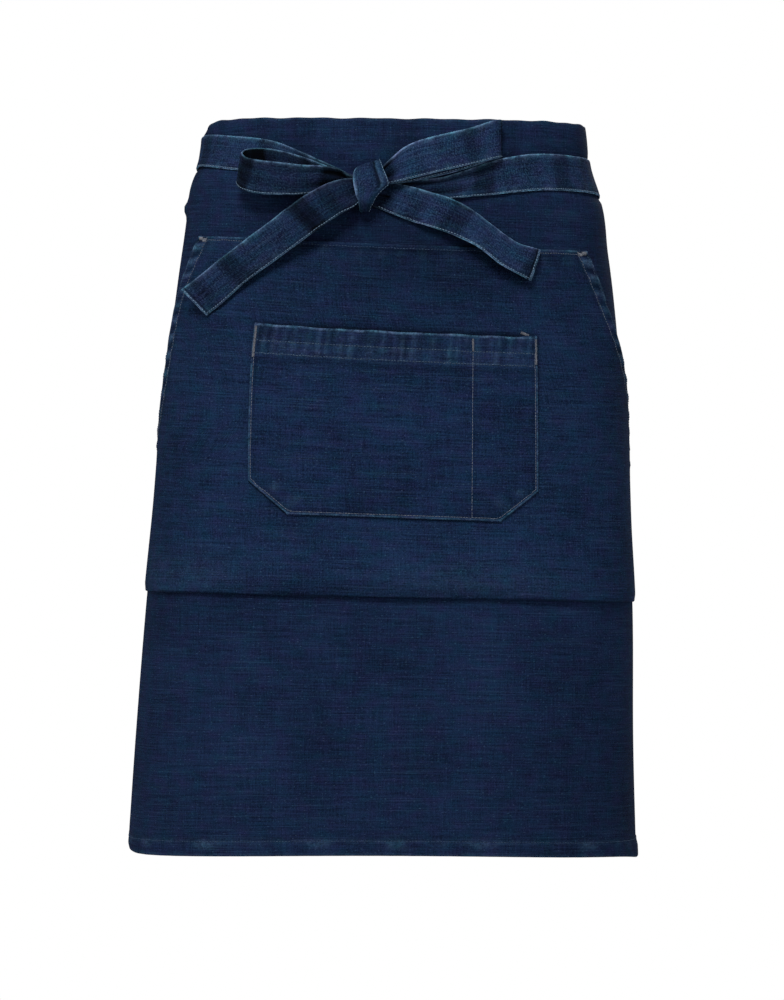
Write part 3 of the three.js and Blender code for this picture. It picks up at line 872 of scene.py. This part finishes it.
def pouchPlace(q, v):
    level = np.clip(v, pouch.top, pouch.lip)
    half = pouchHalf(level)
    inside = insideAt(q, half, pouch.margin)
    beyondSide, reach, lift = pastSide(q)
    slanted = slantedAt(level)
    upright = 1 - slanted
    widen = 1 + slanted * (handSlant / handHigh - 1)
    wobble = slanted * ease(level, pouch.top, pouch.top + 14) * ridge(half - inside, 20.0)
    sway = np.sin(level / 4.3 + np.sign(q) * 0.8) + np.sin(level / 9.7 + 1.0)
    along = pouchShift(level) + np.sign(q) * (inside + (reach + sway * wobble * 0.6) * widen)
    lipTurn = np.maximum(pouch.lipTurn, (pouchMiddle(along, level) - 2.0) / 2)
    lipTurn = np.where(v > pouch.top + 40, lipTurn, pouch.lipTurn)
    reachLip, lift = fold(v - pouch.lip, lift, lipTurn)
    reachTop, lift = fold(pouch.top - v, lift, rules.turn + 0.02)
    rise = lipTurn * ease(level, pouch.lip - 30, pouch.lip)
    drop = level - rise + reachLip - reachTop
    edge = insidePouchEdge(along, drop)
    fromTop = drop - pouch.top
    inHem = withinHem(edge, pouch.handHem) * slanted
    ropes = roping(drop * 1.28, edge * 0.35, 18.0)
    pucker = wander(along, 3.4, 1.5, 17.0) * ridge(fromTop - 7, 6.0)
    raised = 0.95 * ropes * inHem * ease(edge, -0.5, 3) + 0.18 * pucker
    raised += marks((edge, pouch.handHem, 1.5, -0.28 * slanted), (fromTop, pouch.topStitch, 1.2, -0.3),
                    (edge, pouch.sideStitch, 1.2, -0.26 * upright))
    points = cloth(along, drop, pouchMiddle(along, drop) + lift + raised)
    ends = ease(np.abs(along), 100, 150)
    wear = 0.46 * crest(ropes) * inHem + 0.06 * crest(pucker)
    wear += marks((edge, 0, 1.1, 0.55 * slanted * (0.6 + 0.4 * ropes)), (edge, 0, 1.4, 0.10 * upright),
                  (edge, pouch.handHem, 1.8, 0.08 * slanted), (fromTop, 0, 0.7, 0.34 * (0.2 + 0.8 * ends)),
                  (pouch.lip - drop, 14, 16, 0.06 * (0.5 + 0.5 * np.sin(along / 43.0))))
    beside = outsidePocket(along, drop)
    beforePocket = ease(drop, pocket.top - 6, pocket.top)
    # Painted shadow round the pocket's outline and in its mouth, and a painted shadow line below the top
    # seam.
    tone = marks((np.maximum(0, beside - 0.3), 0, 2.0, -0.42 * beforePocket),
                 (drop, pocket.top + 1, 4.5, -0.45 * ease(beside, 0, -8)),
                 (edge, pouch.handHem + 2.2, 1.8, -0.22 * slanted),
                 (fromTop, 4.2, 1.6, -0.25 * (1 - 0.6 * ends)))
    # Painted shade in the valleys of the roping and under the bow.
    tone -= 0.55 * crest(-ropes) * inHem + 0.38 * paintedShadeUnderBow(along, drop)
    # Painted light: the right of the pouch is lighter, as if lit more.
    tone += 0.08 * ease(along, 40, 170) * ease(drop, 170, 260)
    # Painted shade where the middle of the lip rolls under.
    tone -= 0.2 * lipMiddle(along) * ease(drop, pouch.lip - 15, pouch.lip - 3)
    shown = v <= pouch.lip
    pattern = patternAt(q, inside + beyondSide, v, pouch.pattern)
    # Cloth turned under the lip gets painted shade and no wear.
    return points, np.where(shown, wear, 0.0), np.where(shown, tone, -0.3), pattern


def makePouch(cut):
    edge = np.array([0, 0.6, 1.3, 2.4, 3.4, 5, 7.5, 10, 11.6, 12.5, 13.4, 15, 18]) * handSlant / handHigh
    underLip = np.concatenate([np.linspace(0, 8, 13)[1:], np.linspace(8, cut.lipUnder, 8)[1:]])
    rows = merged(cut.top - foldSteps(rules.turn + 0.02, cut.topTurn),
                  cut.top + np.array([0, 0.6, 1.3, 2.2, 3.2, 4.2, 5.5, 8]),
                  spaced(cut.top + 11, cut.lip - 12, cut.step),
                  cut.lip - np.array([9, 6, 4, 2.5, 1.2, 0]), cut.lip + underLip)
    bm = gridOfCloth(marginColumns(cut, cut.half, edge, cut.handHem), rows, pouchPlace)
    return makePanel("pouchPanel", "pouch_panel", bm, "pouchDenim", rules.thick)


pouchPanel = makePouch(pouch)
print("pouch made")


def pocketMiddle(along, drop):
    opening = crest(1 - downPocket(drop))
    across = bump((along - pocketMiddleAlong) / pocketReach) ** 0.6
    held = 1 - 0.75 * ridge(along - pocket.penStitch, 11.0)
    sag = 1 + 0.2 * np.sin(along / 23.0) + 0.5 * ridge(along - 94, 20.0)
    return pouchMiddle(along, drop) + 2.15 + pocket.gape * opening ** 2.2 * across * held * sag


def pocketPlace(q, v):
    level = np.clip(v, pocket.top, pocket.bottom)
    half = pocketHalf(level)
    inside = insideAt(q, half, pocket.margin)
    beyondSide, reach, lift = pastSide(q)
    cut = ease(level, chamferTop - 2, chamferTop + 2)
    slant = 1 + cut * (chamferLong / pocket.chamferHigh - 1)
    along = pocketMiddleAlong + np.sign(q) * (inside + reach * slant)
    across = np.abs(along - pocketMiddleAlong)
    radius = rules.turn + ease(across, half - 16, half - 9)
    reachBottom, lift = fold(v - pocket.bottom, lift, radius)
    reachTop, lift = fold(pocket.top - v, lift, radius)
    drop = level + reachBottom - reachTop
    edge = (pocketHalf(drop) - across) / slant
    fromBottom = pocket.bottom - drop
    fromTop = drop - pocket.top
    fromPen = along - pocket.penStitch
    firstRow, lastRow = pocket.bandRows
    inBand = ease(fromTop, pocket.band + 1.5, pocket.band - 3)
    twist = fromTop / 9.0 + 1.3 * np.sin(along / 7.0)
    ropes = wander(along, 1.5, 2.2, 9.0, twist * 0.6) * np.sin(along / 13.0 + twist * 0.5)
    rubs = wander(along, 3.3, 2.0, 12.0, twist * 0.4)
    corners = ease(across, 58, 98) * cut * ridge(outsidePocket(along, drop) + 9, 7.0)
    puckers = np.sin((along - drop * np.sign(along)) / 4.2) * corners
    raised = 0.38 * ropes * inBand * ease(fromTop, 0, 8) + 0.42 * puckers
    raised += marks((fromTop, firstRow, 1.2, -0.28), (fromTop, lastRow, 1.2, -0.28), (fromPen, 0, 1.3, -0.3),
                    (edge, pocket.edgeStitch, 1.0, -0.3), (fromBottom, pocket.edgeStitch, 1.0, -0.3))
    mouth = (0.2 * np.sin(along / 5.3 + 1.0) + 0.22 * np.sin(along / 11.7)) * ease(fromTop, 14, -2)
    points = cloth(pocketSlope(along, drop), drop + mouth, pocketMiddle(along, drop) + lift + raised)
    wear = (0.02 + 0.10 * crest(ropes)) * inBand + 0.12 * crest(puckers)
    wear += marks((fromTop, 0, 0.8, 0.56), (fromTop, firstRow, 1.2, 0.04), (fromTop, lastRow, 1.2, 0.04),
                  (fromTop, (firstRow + lastRow) / 2, 7.0, 0.05 * crest(0.4 + rubs)),
                  (edge, 0, 0.5, 0.34), (fromBottom, 0, 0.5, 0.34))
    tone = marks((fromTop, firstRow / 2, 7.0, -0.26 * crest(-rubs)), (fromTop, pocket.band + 3.5, 3.2, -0.24),
                 (fromPen, 2.0, 1.5, -0.16), (edge, 3.6, 1.4, -0.16), (fromBottom, 3.6, 1.4, -0.16))
    # Painted shade in the valleys of the roping in the band and of the puckers at the corners.
    tone -= 0.18 * crest(-ropes) * inBand + 0.2 * crest(-puckers)
    tone -= 0.15 * crest(0.2 + wander(along, 8.5, 1.2, 21.0)) * ease(fromBottom, 34, 10)
    return points, wear, tone, patternAt(q, inside + beyondSide, v, pocket.pattern)


def makePocket(cut):
    edge = [0, 0.4, 0.8, 1.3, 1.8, 2.4, 3.2, 4.4, 6.0, 8.0]
    beside = np.array([-1.6, -0.8, 0, 0.8, 1.6])
    rows = merged(cut.top - foldSteps(rules.turn, cut.band), cut.top + np.array([0, 0.4, 0.9, 1.6, 3]),
                  *[cut.top + row + beside for row in cut.bandRows],
                  spaced(cut.top + 6, cut.bottom - 8, cut.step),
                  cut.bottom - np.array([6.5, 5, 3.8, 2.6, 1.8, 1.2, 0.7, 0.4, 0]),
                  cut.bottom + foldSteps(rules.turn, cut.turned))
    bm = gridOfCloth(marginColumns(cut, pocketReach, edge, cut.turned), rows, pocketPlace)
    return makePanel("patchPocket", "patch_pocket", bm, "pocketDenim", rules.thick - 0.1)


patchPocket = makePocket(pocket)
print("patch pocket made")


# How far the pleats of a drawn-in strap rise or sink.
def strapPleat(route, row, side):
    full = np.minimum(1, np.hypot(row[..., 3], 2 * row[..., 5] / strap.width))
    gathered = np.sqrt(np.maximum(0, 1 / full - 1))
    return route.pleat * gathered * np.cos(2.0 * np.pi * side + route.phase)


# Points of a strap's middle surface: t runs along the rows and side from its upper to its lower edge.
def strapSurface(route, t, side):
    row = route.read(t)
    share, drop, lift, spread, lean, roll = np.moveaxis(row, -1, 0)
    reach = side * spread * strap.width / 2
    drop = drop + reach * np.cos(np.radians(lean))
    along = share * (girthAt(drop) if route.round else 1.0) + reach * np.sin(np.radians(lean))
    lift = lift + side * roll + strapPleat(route, row, side)
    if route.crease:
        creased = ease(t, *route.creaseFrom)
        lift = lift + np.interp(side, *np.array(route.profile).T) * creased
        lift = lift + np.interp(side, *np.array(route.plain).T) * (1 - creased)
    if route.round:
        lift = lift + skirtRipple(along, drop)
    return cloth(along, drop, lift)


def strapPoint(route, t, side, height):
    step = 0.02
    after, before = np.minimum(len(route.rows) - 1, t + step), np.maximum(0, t - step)
    run = strapSurface(route, after, side) - strapSurface(route, before, side)
    down = strapSurface(route, t, side + step) - strapSurface(route, t, side - step)
    return strapSurface(route, t, side) + outward(down, run) * np.asarray(height)[..., None]


# Half the thickness across a strap: rounded edges, a groove along the stitching at its lower edge.
def strapHalfThick(side):
    edge = np.sqrt(np.clip(1 - np.abs(side) ** 14, 0, 1))
    groove = strap.groove * ridge((side - strap.stitchAt) * strap.width / 2, 0.7)
    return strap.thick / 2 * edge * (1 - groove)


def prepareRoute(settings):
    route = SimpleNamespace(**{**strapUsual, **settings})
    numbered = [(i, *row) + (0,) * (6 - len(row)) for i, row in enumerate(route.rows)]
    route.read = smoothTable(numbered)
    fine = np.linspace(0, len(numbered) - 1, 1500)
    run = runAlong(strapSurface(route, fine, np.zeros_like(fine)))
    route.length = run[-1]
    route.atLength = lambda distance: np.interp(distance, run, fine)
    return route


# Half of the columns across a strap, from its edge to its middle.
strapSides = np.array([-1, -0.994, -0.975, -0.95, -0.93, -0.90, -0.86, -0.78, -0.68, -0.54, -0.46, -0.38,
                       -0.26, -0.13])


def makeStrap(name, settings, order):
    route = prepareRoute(settings)
    across = np.concatenate([strapSides, [0.0], -strapSides[::-1]])
    count = len(across)
    around = np.concatenate([np.arange(count), np.arange(count - 2, -1, -1)])
    face = np.concatenate([np.ones(count), -np.ones(count - 1)])
    length = route.length
    ends = np.array([0.2, 0.6, 1.2, 2.0, 2.7, strap.tailHem, 4.1, 5.0])
    distances = merged(spaced(0, length, strap.step), ends, length - ends)
    isTail = "Tail" in name

    def place(column, row):
        k = column.astype(int)
        side, over = across[around[k]], face[k]
        t = route.atLength(row)
        left = length - row
        fromFold = row - length / 2
        closing = np.sqrt(np.clip(1 - crest(1 - np.minimum(row, left) / 0.9) ** 2, 0.05, 1))
        hem = ridge(left - strap.tailHem, 0.7) * isTail
        creases = 0.40 * wander(row, 4.9, 1.4, 17.0, order) * np.sin(row / 10.5 + side * 1.1 + order * 2)
        creases += 0.45 * np.sin(row / 16.0 + order * 2 + side * 0.8)
        if not route.round:
            creases += 0.6 * beat(row, 7.5, order + side, 31.0, order)
        folds = wander(row, 3.7, 0.8, 13.0, order + side * 0.9) * ridge(row - 46, 30.0) * isTail
        height = over * strapHalfThick(side) * closing * (1 - 0.4 * hem) + creases * 0.7 + 0.8 * folds
        points = strapPoint(route, t, side, height)
        rim = (1 - np.abs(side)) * strap.width / 2
        fade = 0.6 + 0.4 * beat(row, 9.0, order, 23.0, side)
        upperWear, lowerWear = route.rimWear
        # Edges are worn pale; the upper edge also gets a broad painted highlight, so it reads brighter than
        # the lower.
        upper = marks((rim, route.rimAt, route.rim, upperWear), (rim, 0, 3.2, 0.10))
        wear = np.where(side < 0, upper, lowerWear * ridge(rim, 0.7)) * (0.75 + 0.25 * fade)
        wear *= 1 - route.softEnd * ridge(fromFold, 13.0)
        rubbed = crest(beat(row, 5.2, order, 2.9, side * 1.4))
        wear += marks((rim, 1.0, 1.4, 0.10 * fade), (rim, 0, 4.5, 0.14 * rubbed),
                      (left, 0.4, 1.0, 1.0 * isTail), (left, 2.3, 0.5, 0.3 * isTail))
        # Painted shade in the sunk pleats, a painted shadow in the groove of a tail's end hem, painted shade
        # over a whole strap and in the valleys of the folds.
        tone = 0.2 * np.minimum(0, strapPleat(route, route.read(t), side)) - 0.5 * hem - route.dye
        tone -= 0.14 * ridge(rim - 2.4, 1.2) * (side > 0) + 0.2 * crest(-folds * route.outside)
        tone -= 0.42 * ease(beat(row, 8.6, order + side * 0.4, 21.0, 2 * order), 0.1, 0.7)
        # Painted shade on the face inside a loop, deepest halfway round.
        tone -= (0.2 + 0.45 * ridge(fromFold, 30.0)) * (over == route.inside) * ease(rim, 0.3, 1.6)
        atStart, atEnd = route.knotEnds
        near = np.minimum(row if atStart else np.inf, left if atEnd else np.inf)
        tone -= route.knotShade * ease(near, route.knotReach, 14)
        if route.crease:
            away = (side - route.crease) * strap.width / 2
            creased = ease(t, *route.creaseFrom)
            # Painted shade in the knot's crease, and darker towards it from the left.
            tone -= (0.75 * ridge(away, 1.3) + 0.3 * ease(away, -9, -1) * (away < 0)) * creased
            wear += 0.35 * ridge(away - 2.2, 1.2) * creased
        return points, wear, tone, np.stack([row + 500 * order, side * 15 * over + 4000 + 40 * over], -1)

    bm = gridOfCloth(np.arange(len(around), dtype=float), distances, place, closed=True)
    piece = makeObject(name, bm, [looks["tieDenim"]])
    settle(piece, route.node)
    return piece, route


straps = {name: makeStrap(name, settings, i) for i, (name, settings) in enumerate(strapRoutes.items())}
print("ties and bow made")

# The knot: a strip wrapped over a tight core, wide above and drawn to a point below, with one pleat.
# Profiles are rows of side and lift, plain at its start and creased further on.
knotWrap = {
    "node": "bow_knot", "held": "folded", "rests": ["bow_loop_left", "bow_loop_right"],
    "pleat": 0.0, "crease": 0.45, "creaseFrom": (4.6, 6.4), "rim": 0.65, "rimAt": 1.2, "rimWear": (2.2, 0.7),
    "plain": [(-1, -5.2), (-0.85, -3.1), (-0.5, -0.9), (-0.1, 0), (0.4, -1.0), (0.75, -3.0), (1, -6)],
    "profile": [(-1, -5.5), (-0.85, -3.2), (-0.5, -0.9), (-0.1, 0), (0.25, -0.9), (0.40, -2.6), (0.47, -4.6),
                (0.54, -3.4), (0.70, -3.0), (0.88, -3.9), (1, -6.5)],
    "rows": [
        (-25.7, 76.4, 9, 0.14, 108), (-25.5, 80.0, 14, 0.23, 100), (-25.0, 78, 18, 0.27, 104),
        (-24.0, 74.9, 20.5, 0.37, 100), (-23, 70.7, 22.5, 0.50, 101), (-20.8, 65.7, 24, 0.75, 102),
        (-19, 61.3, 25, 0.95, 101), (-20.3, 55.5, 25.5, 0.93, 103), (-21.7, 48.9, 24, 0.85, 106),
        (-21.8, 42.9, 20.5, 0.76, 111), (-21.8, 40.7, 15, 0.70, 113), (-22.2, 43.9, 9.5, 0.64, 110)],
}
# The core is painted darker, as shade in the gaps between the straps.
knotCore = {"along": -20.0, "drop": 56.0, "lift": 12.0, "size": (10.0, 14.0, 8.0), "tone": -0.5}


# Blender lists the faces of a sphere in another order each run, so they are sorted.
def makeCore(core):
    bm = bmesh.new()
    bmesh.ops.create_uvsphere(bm, u_segments=32, v_segments=20, radius=1.0)
    bm.verts.index_update()
    bm.faces.sort(key=lambda face: sum((vert.index + 1) ** 2 for vert in face.verts))
    here = [np.array(core["along"]), np.array(core["drop"])]
    origin = Vector(cloth(*here, np.array(core["lift"])))
    out = Vector(cloth(*here, np.array(1.0)) - cloth(*here, np.array(0.0))).normalized()
    right = Vector((0, 0, 1)).cross(out).normalized()
    up = out.cross(right).normalized()
    wide, high, deep = core["size"]
    patternLayer = bm.loops.layers.uv.new("pattern")
    toneLayer = bm.verts.layers.float.new("tone")
    for vert in bm.verts:
        x, y, z = vert.co
        vert[toneLayer] = core["tone"]
        vert.co = (origin + right * x * wide + up * y * high + out * z * deep) * mm
    for face in bm.faces:
        face.smooth = True
        for loop in face.loops:
            loop[patternLayer].uv = (loop.vert.co.x, loop.vert.co.z)
    bmesh.ops.recalc_face_normals(bm, faces=bm.faces)
    settle(makeObject("knotCore", bm, [looks["tieDenim"]]))


straps["bowKnot"] = makeStrap("bowKnot", knotWrap, 7)
makeCore(knotCore)
print("knot made")

# Stitching: short threads laid on the finished cloth, each sunk at its ends.
# The lines for it run a little over the cloth, and stop short of a strap's end or inside the knot.
stitchRules = {"pitch": 2.6, "long": 1.75, "pocketLong": 2.2, "thread": 0.24, "rise": 0.12, "sink": 0.10,
               "overSkirt": 2.2, "overPocket": 1.6, "overStrap": 1.5, "taper": 0.7, "lineStep": 2.0,
               "strapEnd": 2, "knotEnd": 14}
# A bar tack is made of close threads, with rows of share of its width and height.
tackRules = {"thread": 0.24, "perMillimetre": 1.9, "over": 0.6,
             "profile": [(-1, -0.1), (-0.75, 0.45), (0, 0.65), (0.75, 0.45), (1, -0.1)]}


def surfaceTree(piece):
    return BVHTree.FromObject(piece, bpy.context.evaluated_depsgraph_get())


# One row of stitches along points in mm that lie just over the cloth.
def stitchRow(tree, points, long=stitchRules["long"]):
    run = runAlong(points)
    count = max(1, int(run[-1] / stitchRules["pitch"]))
    pitch = run[-1] / count
    rise, sink = stitchRules["rise"], -stitchRules["sink"]
    found = []
    for k in range(count):
        at = k * pitch + (pitch - long) / 2 + np.array([0, 0.25, 0.75, 1]) * long
        spots = np.stack([np.interp(at, run, points[:, i]) for i in range(3)], -1)
        thread = []
        for spot, height in zip(spots, (sink, rise, rise, sink)):
            place, normal = tree.find_nearest(Vector(spot * mm))[:2]
            thread.append(place + normal * height * mm)
        found.append(thread)
    return found


# Threads become tapered tubes in one mesh.
def makeThreads(name, threads, thick, material):
    curve = bpy.data.curves.new(name, "CURVE")
    curve.dimensions = "3D"
    curve.bevel_depth = thick * mm
    curve.bevel_resolution = 1
    curve.use_fill_caps = True
    for thread in threads:
        spline = curve.splines.new("POLY")
        spline.points.add(len(thread) - 1)
        taper = np.sin(np.linspace(stitchRules["taper"], math.pi - stitchRules["taper"], len(thread)))
        for point, place, size in zip(spline.points, thread, taper):
            point.co = (*place, 1.0)
            point.radius = size
    holder = addObject(name + "Curve", curve)
    mesh = bpy.data.meshes.new_from_object(holder.evaluated_get(bpy.context.evaluated_depsgraph_get()))
    bpy.data.objects.remove(holder)
    bpy.data.curves.remove(curve)
    mesh.name = name
    mesh.materials.clear()
    mesh.materials.append(looks[material])
    for polygon in mesh.polygons:
        polygon.use_smooth = True
    settle(addObject(name, mesh))


# Threads laid across a short line from its first to its last point.
def barTack(tree, line, width):
    start, run = line[0], line[-1] - line[0]
    count = int(np.linalg.norm(run) * tackRules["perMillimetre"])
    found = []
    for k in range(count):
        place, normal = tree.find_nearest(Vector((start + run * (k + 0.5) / count) * mm))[:2]
        cross = normal.cross(Vector(run)).normalized()
        thread = []
        for share, height in tackRules["profile"]:
            above = place + cross * share * width / 2 * mm + normal * tackRules["over"] * mm
            spot, over = tree.find_nearest(above)[:2]
            thread.append(spot + over * height * mm)
        found.append(thread)
    return found


# A straight-sided line on the pattern, laid over the cloth; lift is worked out from the pattern.
def patternLine(along, drop, lift, lean=None):
    along, drop = np.asarray(along, float), np.asarray(drop, float)
    run = runAlong(np.stack([along, drop], -1))
    at = spaced(0, run[-1], stitchRules["lineStep"])
    a, d = np.interp(at, run, along), np.interp(at, run, drop)
    return cloth(lean(a, d) if lean else a, d, lift(a, d))


def sewSkirt():
    tree = surfaceTree(skirtPanel)

    def over(along, drop):
        return stitchRules["overSkirt"] + skirtRipple(along, drop) + swelling(along, drop)

    level = skirt.length - skirt.hemStitch
    end = skirtHalf(level) - 1.5
    threads = stitchRow(tree, patternLine([-end, end], [level, level], over))
    drops = spaced(4, skirt.length - 4, 4)
    for sign in (-1, 1):
        along = sign * (skirtHalf(drops) - skirt.sideStitch)
        threads += stitchRow(tree, cloth(along, drops, over(along, drops)))
    makeThreads("skirtStitches", threads, stitchRules["thread"] * 0.9, "seamThread")


# The pouch's pale stitches start this far from the middle, and a stitched dash stands beside the
# pocket's mouth, as two pattern points.
pouchSewing = {"paleFrom": 105.0, "dash": ([106.0, 113.2], [177.0, 179.8]), "dashWidth": 2.4,
               "tack": np.array([1.5, 12.0]), "tackWidth": 3.0}


def sewPouch(sewing):
    tree = surfaceTree(pouchPanel)

    def over(along, drop):
        return pouchMiddle(along, drop) + stitchRules["overPocket"]

    def seam(along, drops):
        return stitchRow(tree, cloth(along, drops, over(along, drops)))

    top = pouch.top + pouch.topStitch
    middle = sewing["paleFrom"]
    threads = stitchRow(tree, patternLine([-middle, middle], [top, top], over))
    tacks = barTack(tree, patternLine(*sewing["dash"], over), sewing["dashWidth"])
    square = handSlant / handHigh
    pale = []
    for sign in (-1, 1):
        end = pouch.topShift + sign * (pouch.topHalf - 4)
        pale += stitchRow(tree, patternLine([sign * middle, end], [top, top], over))
        drops = spaced(pouch.top + 3, pouch.handEnd, 3)
        pale += seam(pouchShift(drops) + sign * (pouchHalf(drops) - pouch.handHem * square), drops)
        threads += seam(pouchShift(drops) + sign * (pouchHalf(drops) - pouch.handStitch * square), drops)
        drops = spaced(pouch.handEnd, pouch.lip - 6, 3)
        threads += seam(sign * (pouchHalf(drops) - pouch.sideStitch), drops)
        bar = pouch.topShift + sign * (pouch.topHalf - sewing["tack"])
        tacks += barTack(tree, patternLine(bar, [top - 0.4, top - 0.4], over), sewing["tackWidth"])
    makeThreads("pouchBarTacks", tacks, tackRules["thread"], "tackThread")
    makeThreads("pouchPaleStitches", pale, stitchRules["thread"], "pocketThread")
    makeThreads("pouchStitches", threads, stitchRules["thread"], "seamThread")


# Bar tacks of the pocket: along, first and last below the mouth, and width.
pocketTacks = [(pocket.left + 1.0, 1.0, 27.0, 2.0), (pocket.right - 0.8, 1.0, 22.0, 1.5),
               (pocket.penStitch, 2.0, 12.5, 1.5)]


def sewPocket():
    tree = surfaceTree(patchPocket)

    def over(along, drop):
        return pocketMiddle(along, drop) + stitchRules["overPocket"]

    def line(along, drop):
        return patternLine(along, drop, over, pocketSlope)

    inset = pocket.edgeStitch
    left, right, bottom = pocket.left + inset, pocket.right - inset, pocket.bottom - inset
    wide, corner = pocket.chamferWide - 0.6, chamferTop - 0.6
    top, pen = pocket.top, pocket.penStitch
    outline = line([left, left, left + wide, right - wide, right, right],
                   [top + 2, corner, bottom, bottom, corner, top + 2])
    long = stitchRules["pocketLong"]
    sides = stitchRow(tree, outline, long) + stitchRow(tree, line([pen, pen], [top + 3, bottom]), long)
    band = []
    for row in pocket.bandRows:
        band += stitchRow(tree, line([left + 1, right - 1], [top + row, top + row]))
    tacks = []
    for along, first, last, width in pocketTacks:
        tacks += barTack(tree, line([along, along], [top + first, top + last]), width)
    makeThreads("pocketBarTacks", tacks, tackRules["thread"], "tackThread")
    makeThreads("pocketBandStitches", band, stitchRules["thread"], "bandThread")
    makeThreads("pocketStitches", sides, stitchRules["thread"], "pocketThread")


# Box and cross sewn where a tie joins the skirt: distance from the tie's end, and side.
boxPath = [(5, -0.7), (27, -0.7), (27, 0.7), (5, 0.7), (5, -0.7), (27, 0.7), (27, -0.7), (5, 0.7)]


def sewStraps():
    threads = []
    for name, (piece, route) in straps.items():
        tree = surfaceTree(piece)

        def sew(distances, side, face):
            t, side = np.broadcast_arrays(route.atLength(distances), side)
            height = np.full(len(t), stitchRules["overStrap"] * face)
            return stitchRow(tree, strapPoint(route, t, side, height))

        first, last = [stitchRules["knotEnd" if atKnot else "strapEnd"] for atKnot in route.knotEnds]
        distances = spaced(first, route.length - last, 1.5)
        for face in (1, -1):
            threads += sew(distances, strap.stitchAt, face)
        if "Tail" in name:
            for face in (1, -1):
                threads += sew(route.length - strap.tailStitch, np.linspace(-0.85, 0.85, 14), face)
        if not route.round:
            continue
        path = np.array(boxPath)
        if name == "tieRight":
            path[:, 0] = route.length - path[:, 0]
        for corner, end in zip(path[:-1], path[1:]):
            spots = corner + (end - corner) * np.linspace(0, 1, 12)[:, None]
            threads += sew(spots[:, 0], spots[:, 1], 1)
    makeThreads("strapStitches", threads, stitchRules["thread"] * 1.15, "tieThread")


sewSkirt()
sewPouch(pouchSewing)
sewPocket()
sewStraps()
print("stitching made")

# Floor, backdrop, and lights with their place, target, size and power.
studio = {
    "floor": -1.05,
    "radius": 1.6,
    "floorColours": ((226, 226, 224), (234, 234, 233)),
    "floorGrain": 3.0,
    "floorRoughness": 0.9,
    "ambient": 0.23,
    "lights": {
        "keyLight": ((-0.5, -2.2, 2.2), (0, 0, -0.25), 1.2, 87.0),
        "fillLight": ((1.7, -2.2, 0.2), (0, 0, -0.3), 1.6, 13.5),
        "sideLight": ((-2.4, -0.5, 0.4), (0, 0, -0.3), 1.6, 14.0),
        "backLight": ((0.8, 2.4, 1.3), (0, 0, -0.3), 1.6, 40.0),
    },
}


def areaLight(name, place, target, size, power):
    data = bpy.data.lights.new(name, "AREA")
    data.shape = "DISK"
    data.size = size
    data.energy = power
    lamp = addObject(name, data)
    lamp.location = place
    lamp.rotation_euler = (Vector(target) - Vector(place)).to_track_quat("-Z", "Y").to_euler()


def setUpStudio(settings):
    bm = bmesh.new()
    bmesh.ops.create_circle(bm, cap_ends=True, cap_tris=False, segments=96, radius=settings["radius"])
    bmesh.ops.translate(bm, verts=bm.verts, vec=(0.0, 0.0, settings["floor"]))
    material = bpy.data.materials.new("paleFloor")
    material.use_nodes = True
    tree = material.node_tree
    shader = tree.nodes["Principled BSDF"]
    where = addNode(tree, "ShaderNodeTexCoord").outputs["Object"]
    grain = addNode(tree, "ShaderNodeTexNoise", {"Vector": where, "Scale": settings["floorGrain"]}).outputs[0]
    tint = blendColours(tree, grain, *[colour(*shade) for shade in settings["floorColours"]])
    tree.links.new(tint, shader.inputs["Base Color"])
    shader.inputs["Roughness"].default_value = settings["floorRoughness"]
    makeObject("floor", bm, [material])
    world = bpy.data.worlds.new("paleStudio")
    scene.world = world
    world.use_nodes = True
    tree = world.node_tree
    tree.nodes.clear()
    seen = addNode(tree, "ShaderNodeLightPath").outputs["Is Camera Ray"]
    white = {"Color": (1, 1, 1, 1)}
    light = addNode(tree, "ShaderNodeBackground", {**white, "Strength": settings["ambient"]}).outputs[0]
    backdrop = addNode(tree, "ShaderNodeBackground", {**white, "Strength": 1.0}).outputs[0]
    mixed = addNode(tree, "ShaderNodeMixShader", {0: seen, 1: light, 2: backdrop}).outputs[0]
    addNode(tree, "ShaderNodeOutputWorld", {"Surface": mixed})
    for name, values in settings["lights"].items():
        areaLight(name, *values)
    scene.view_settings.view_transform = "Standard"


setUpStudio(studio)
print("studio set")
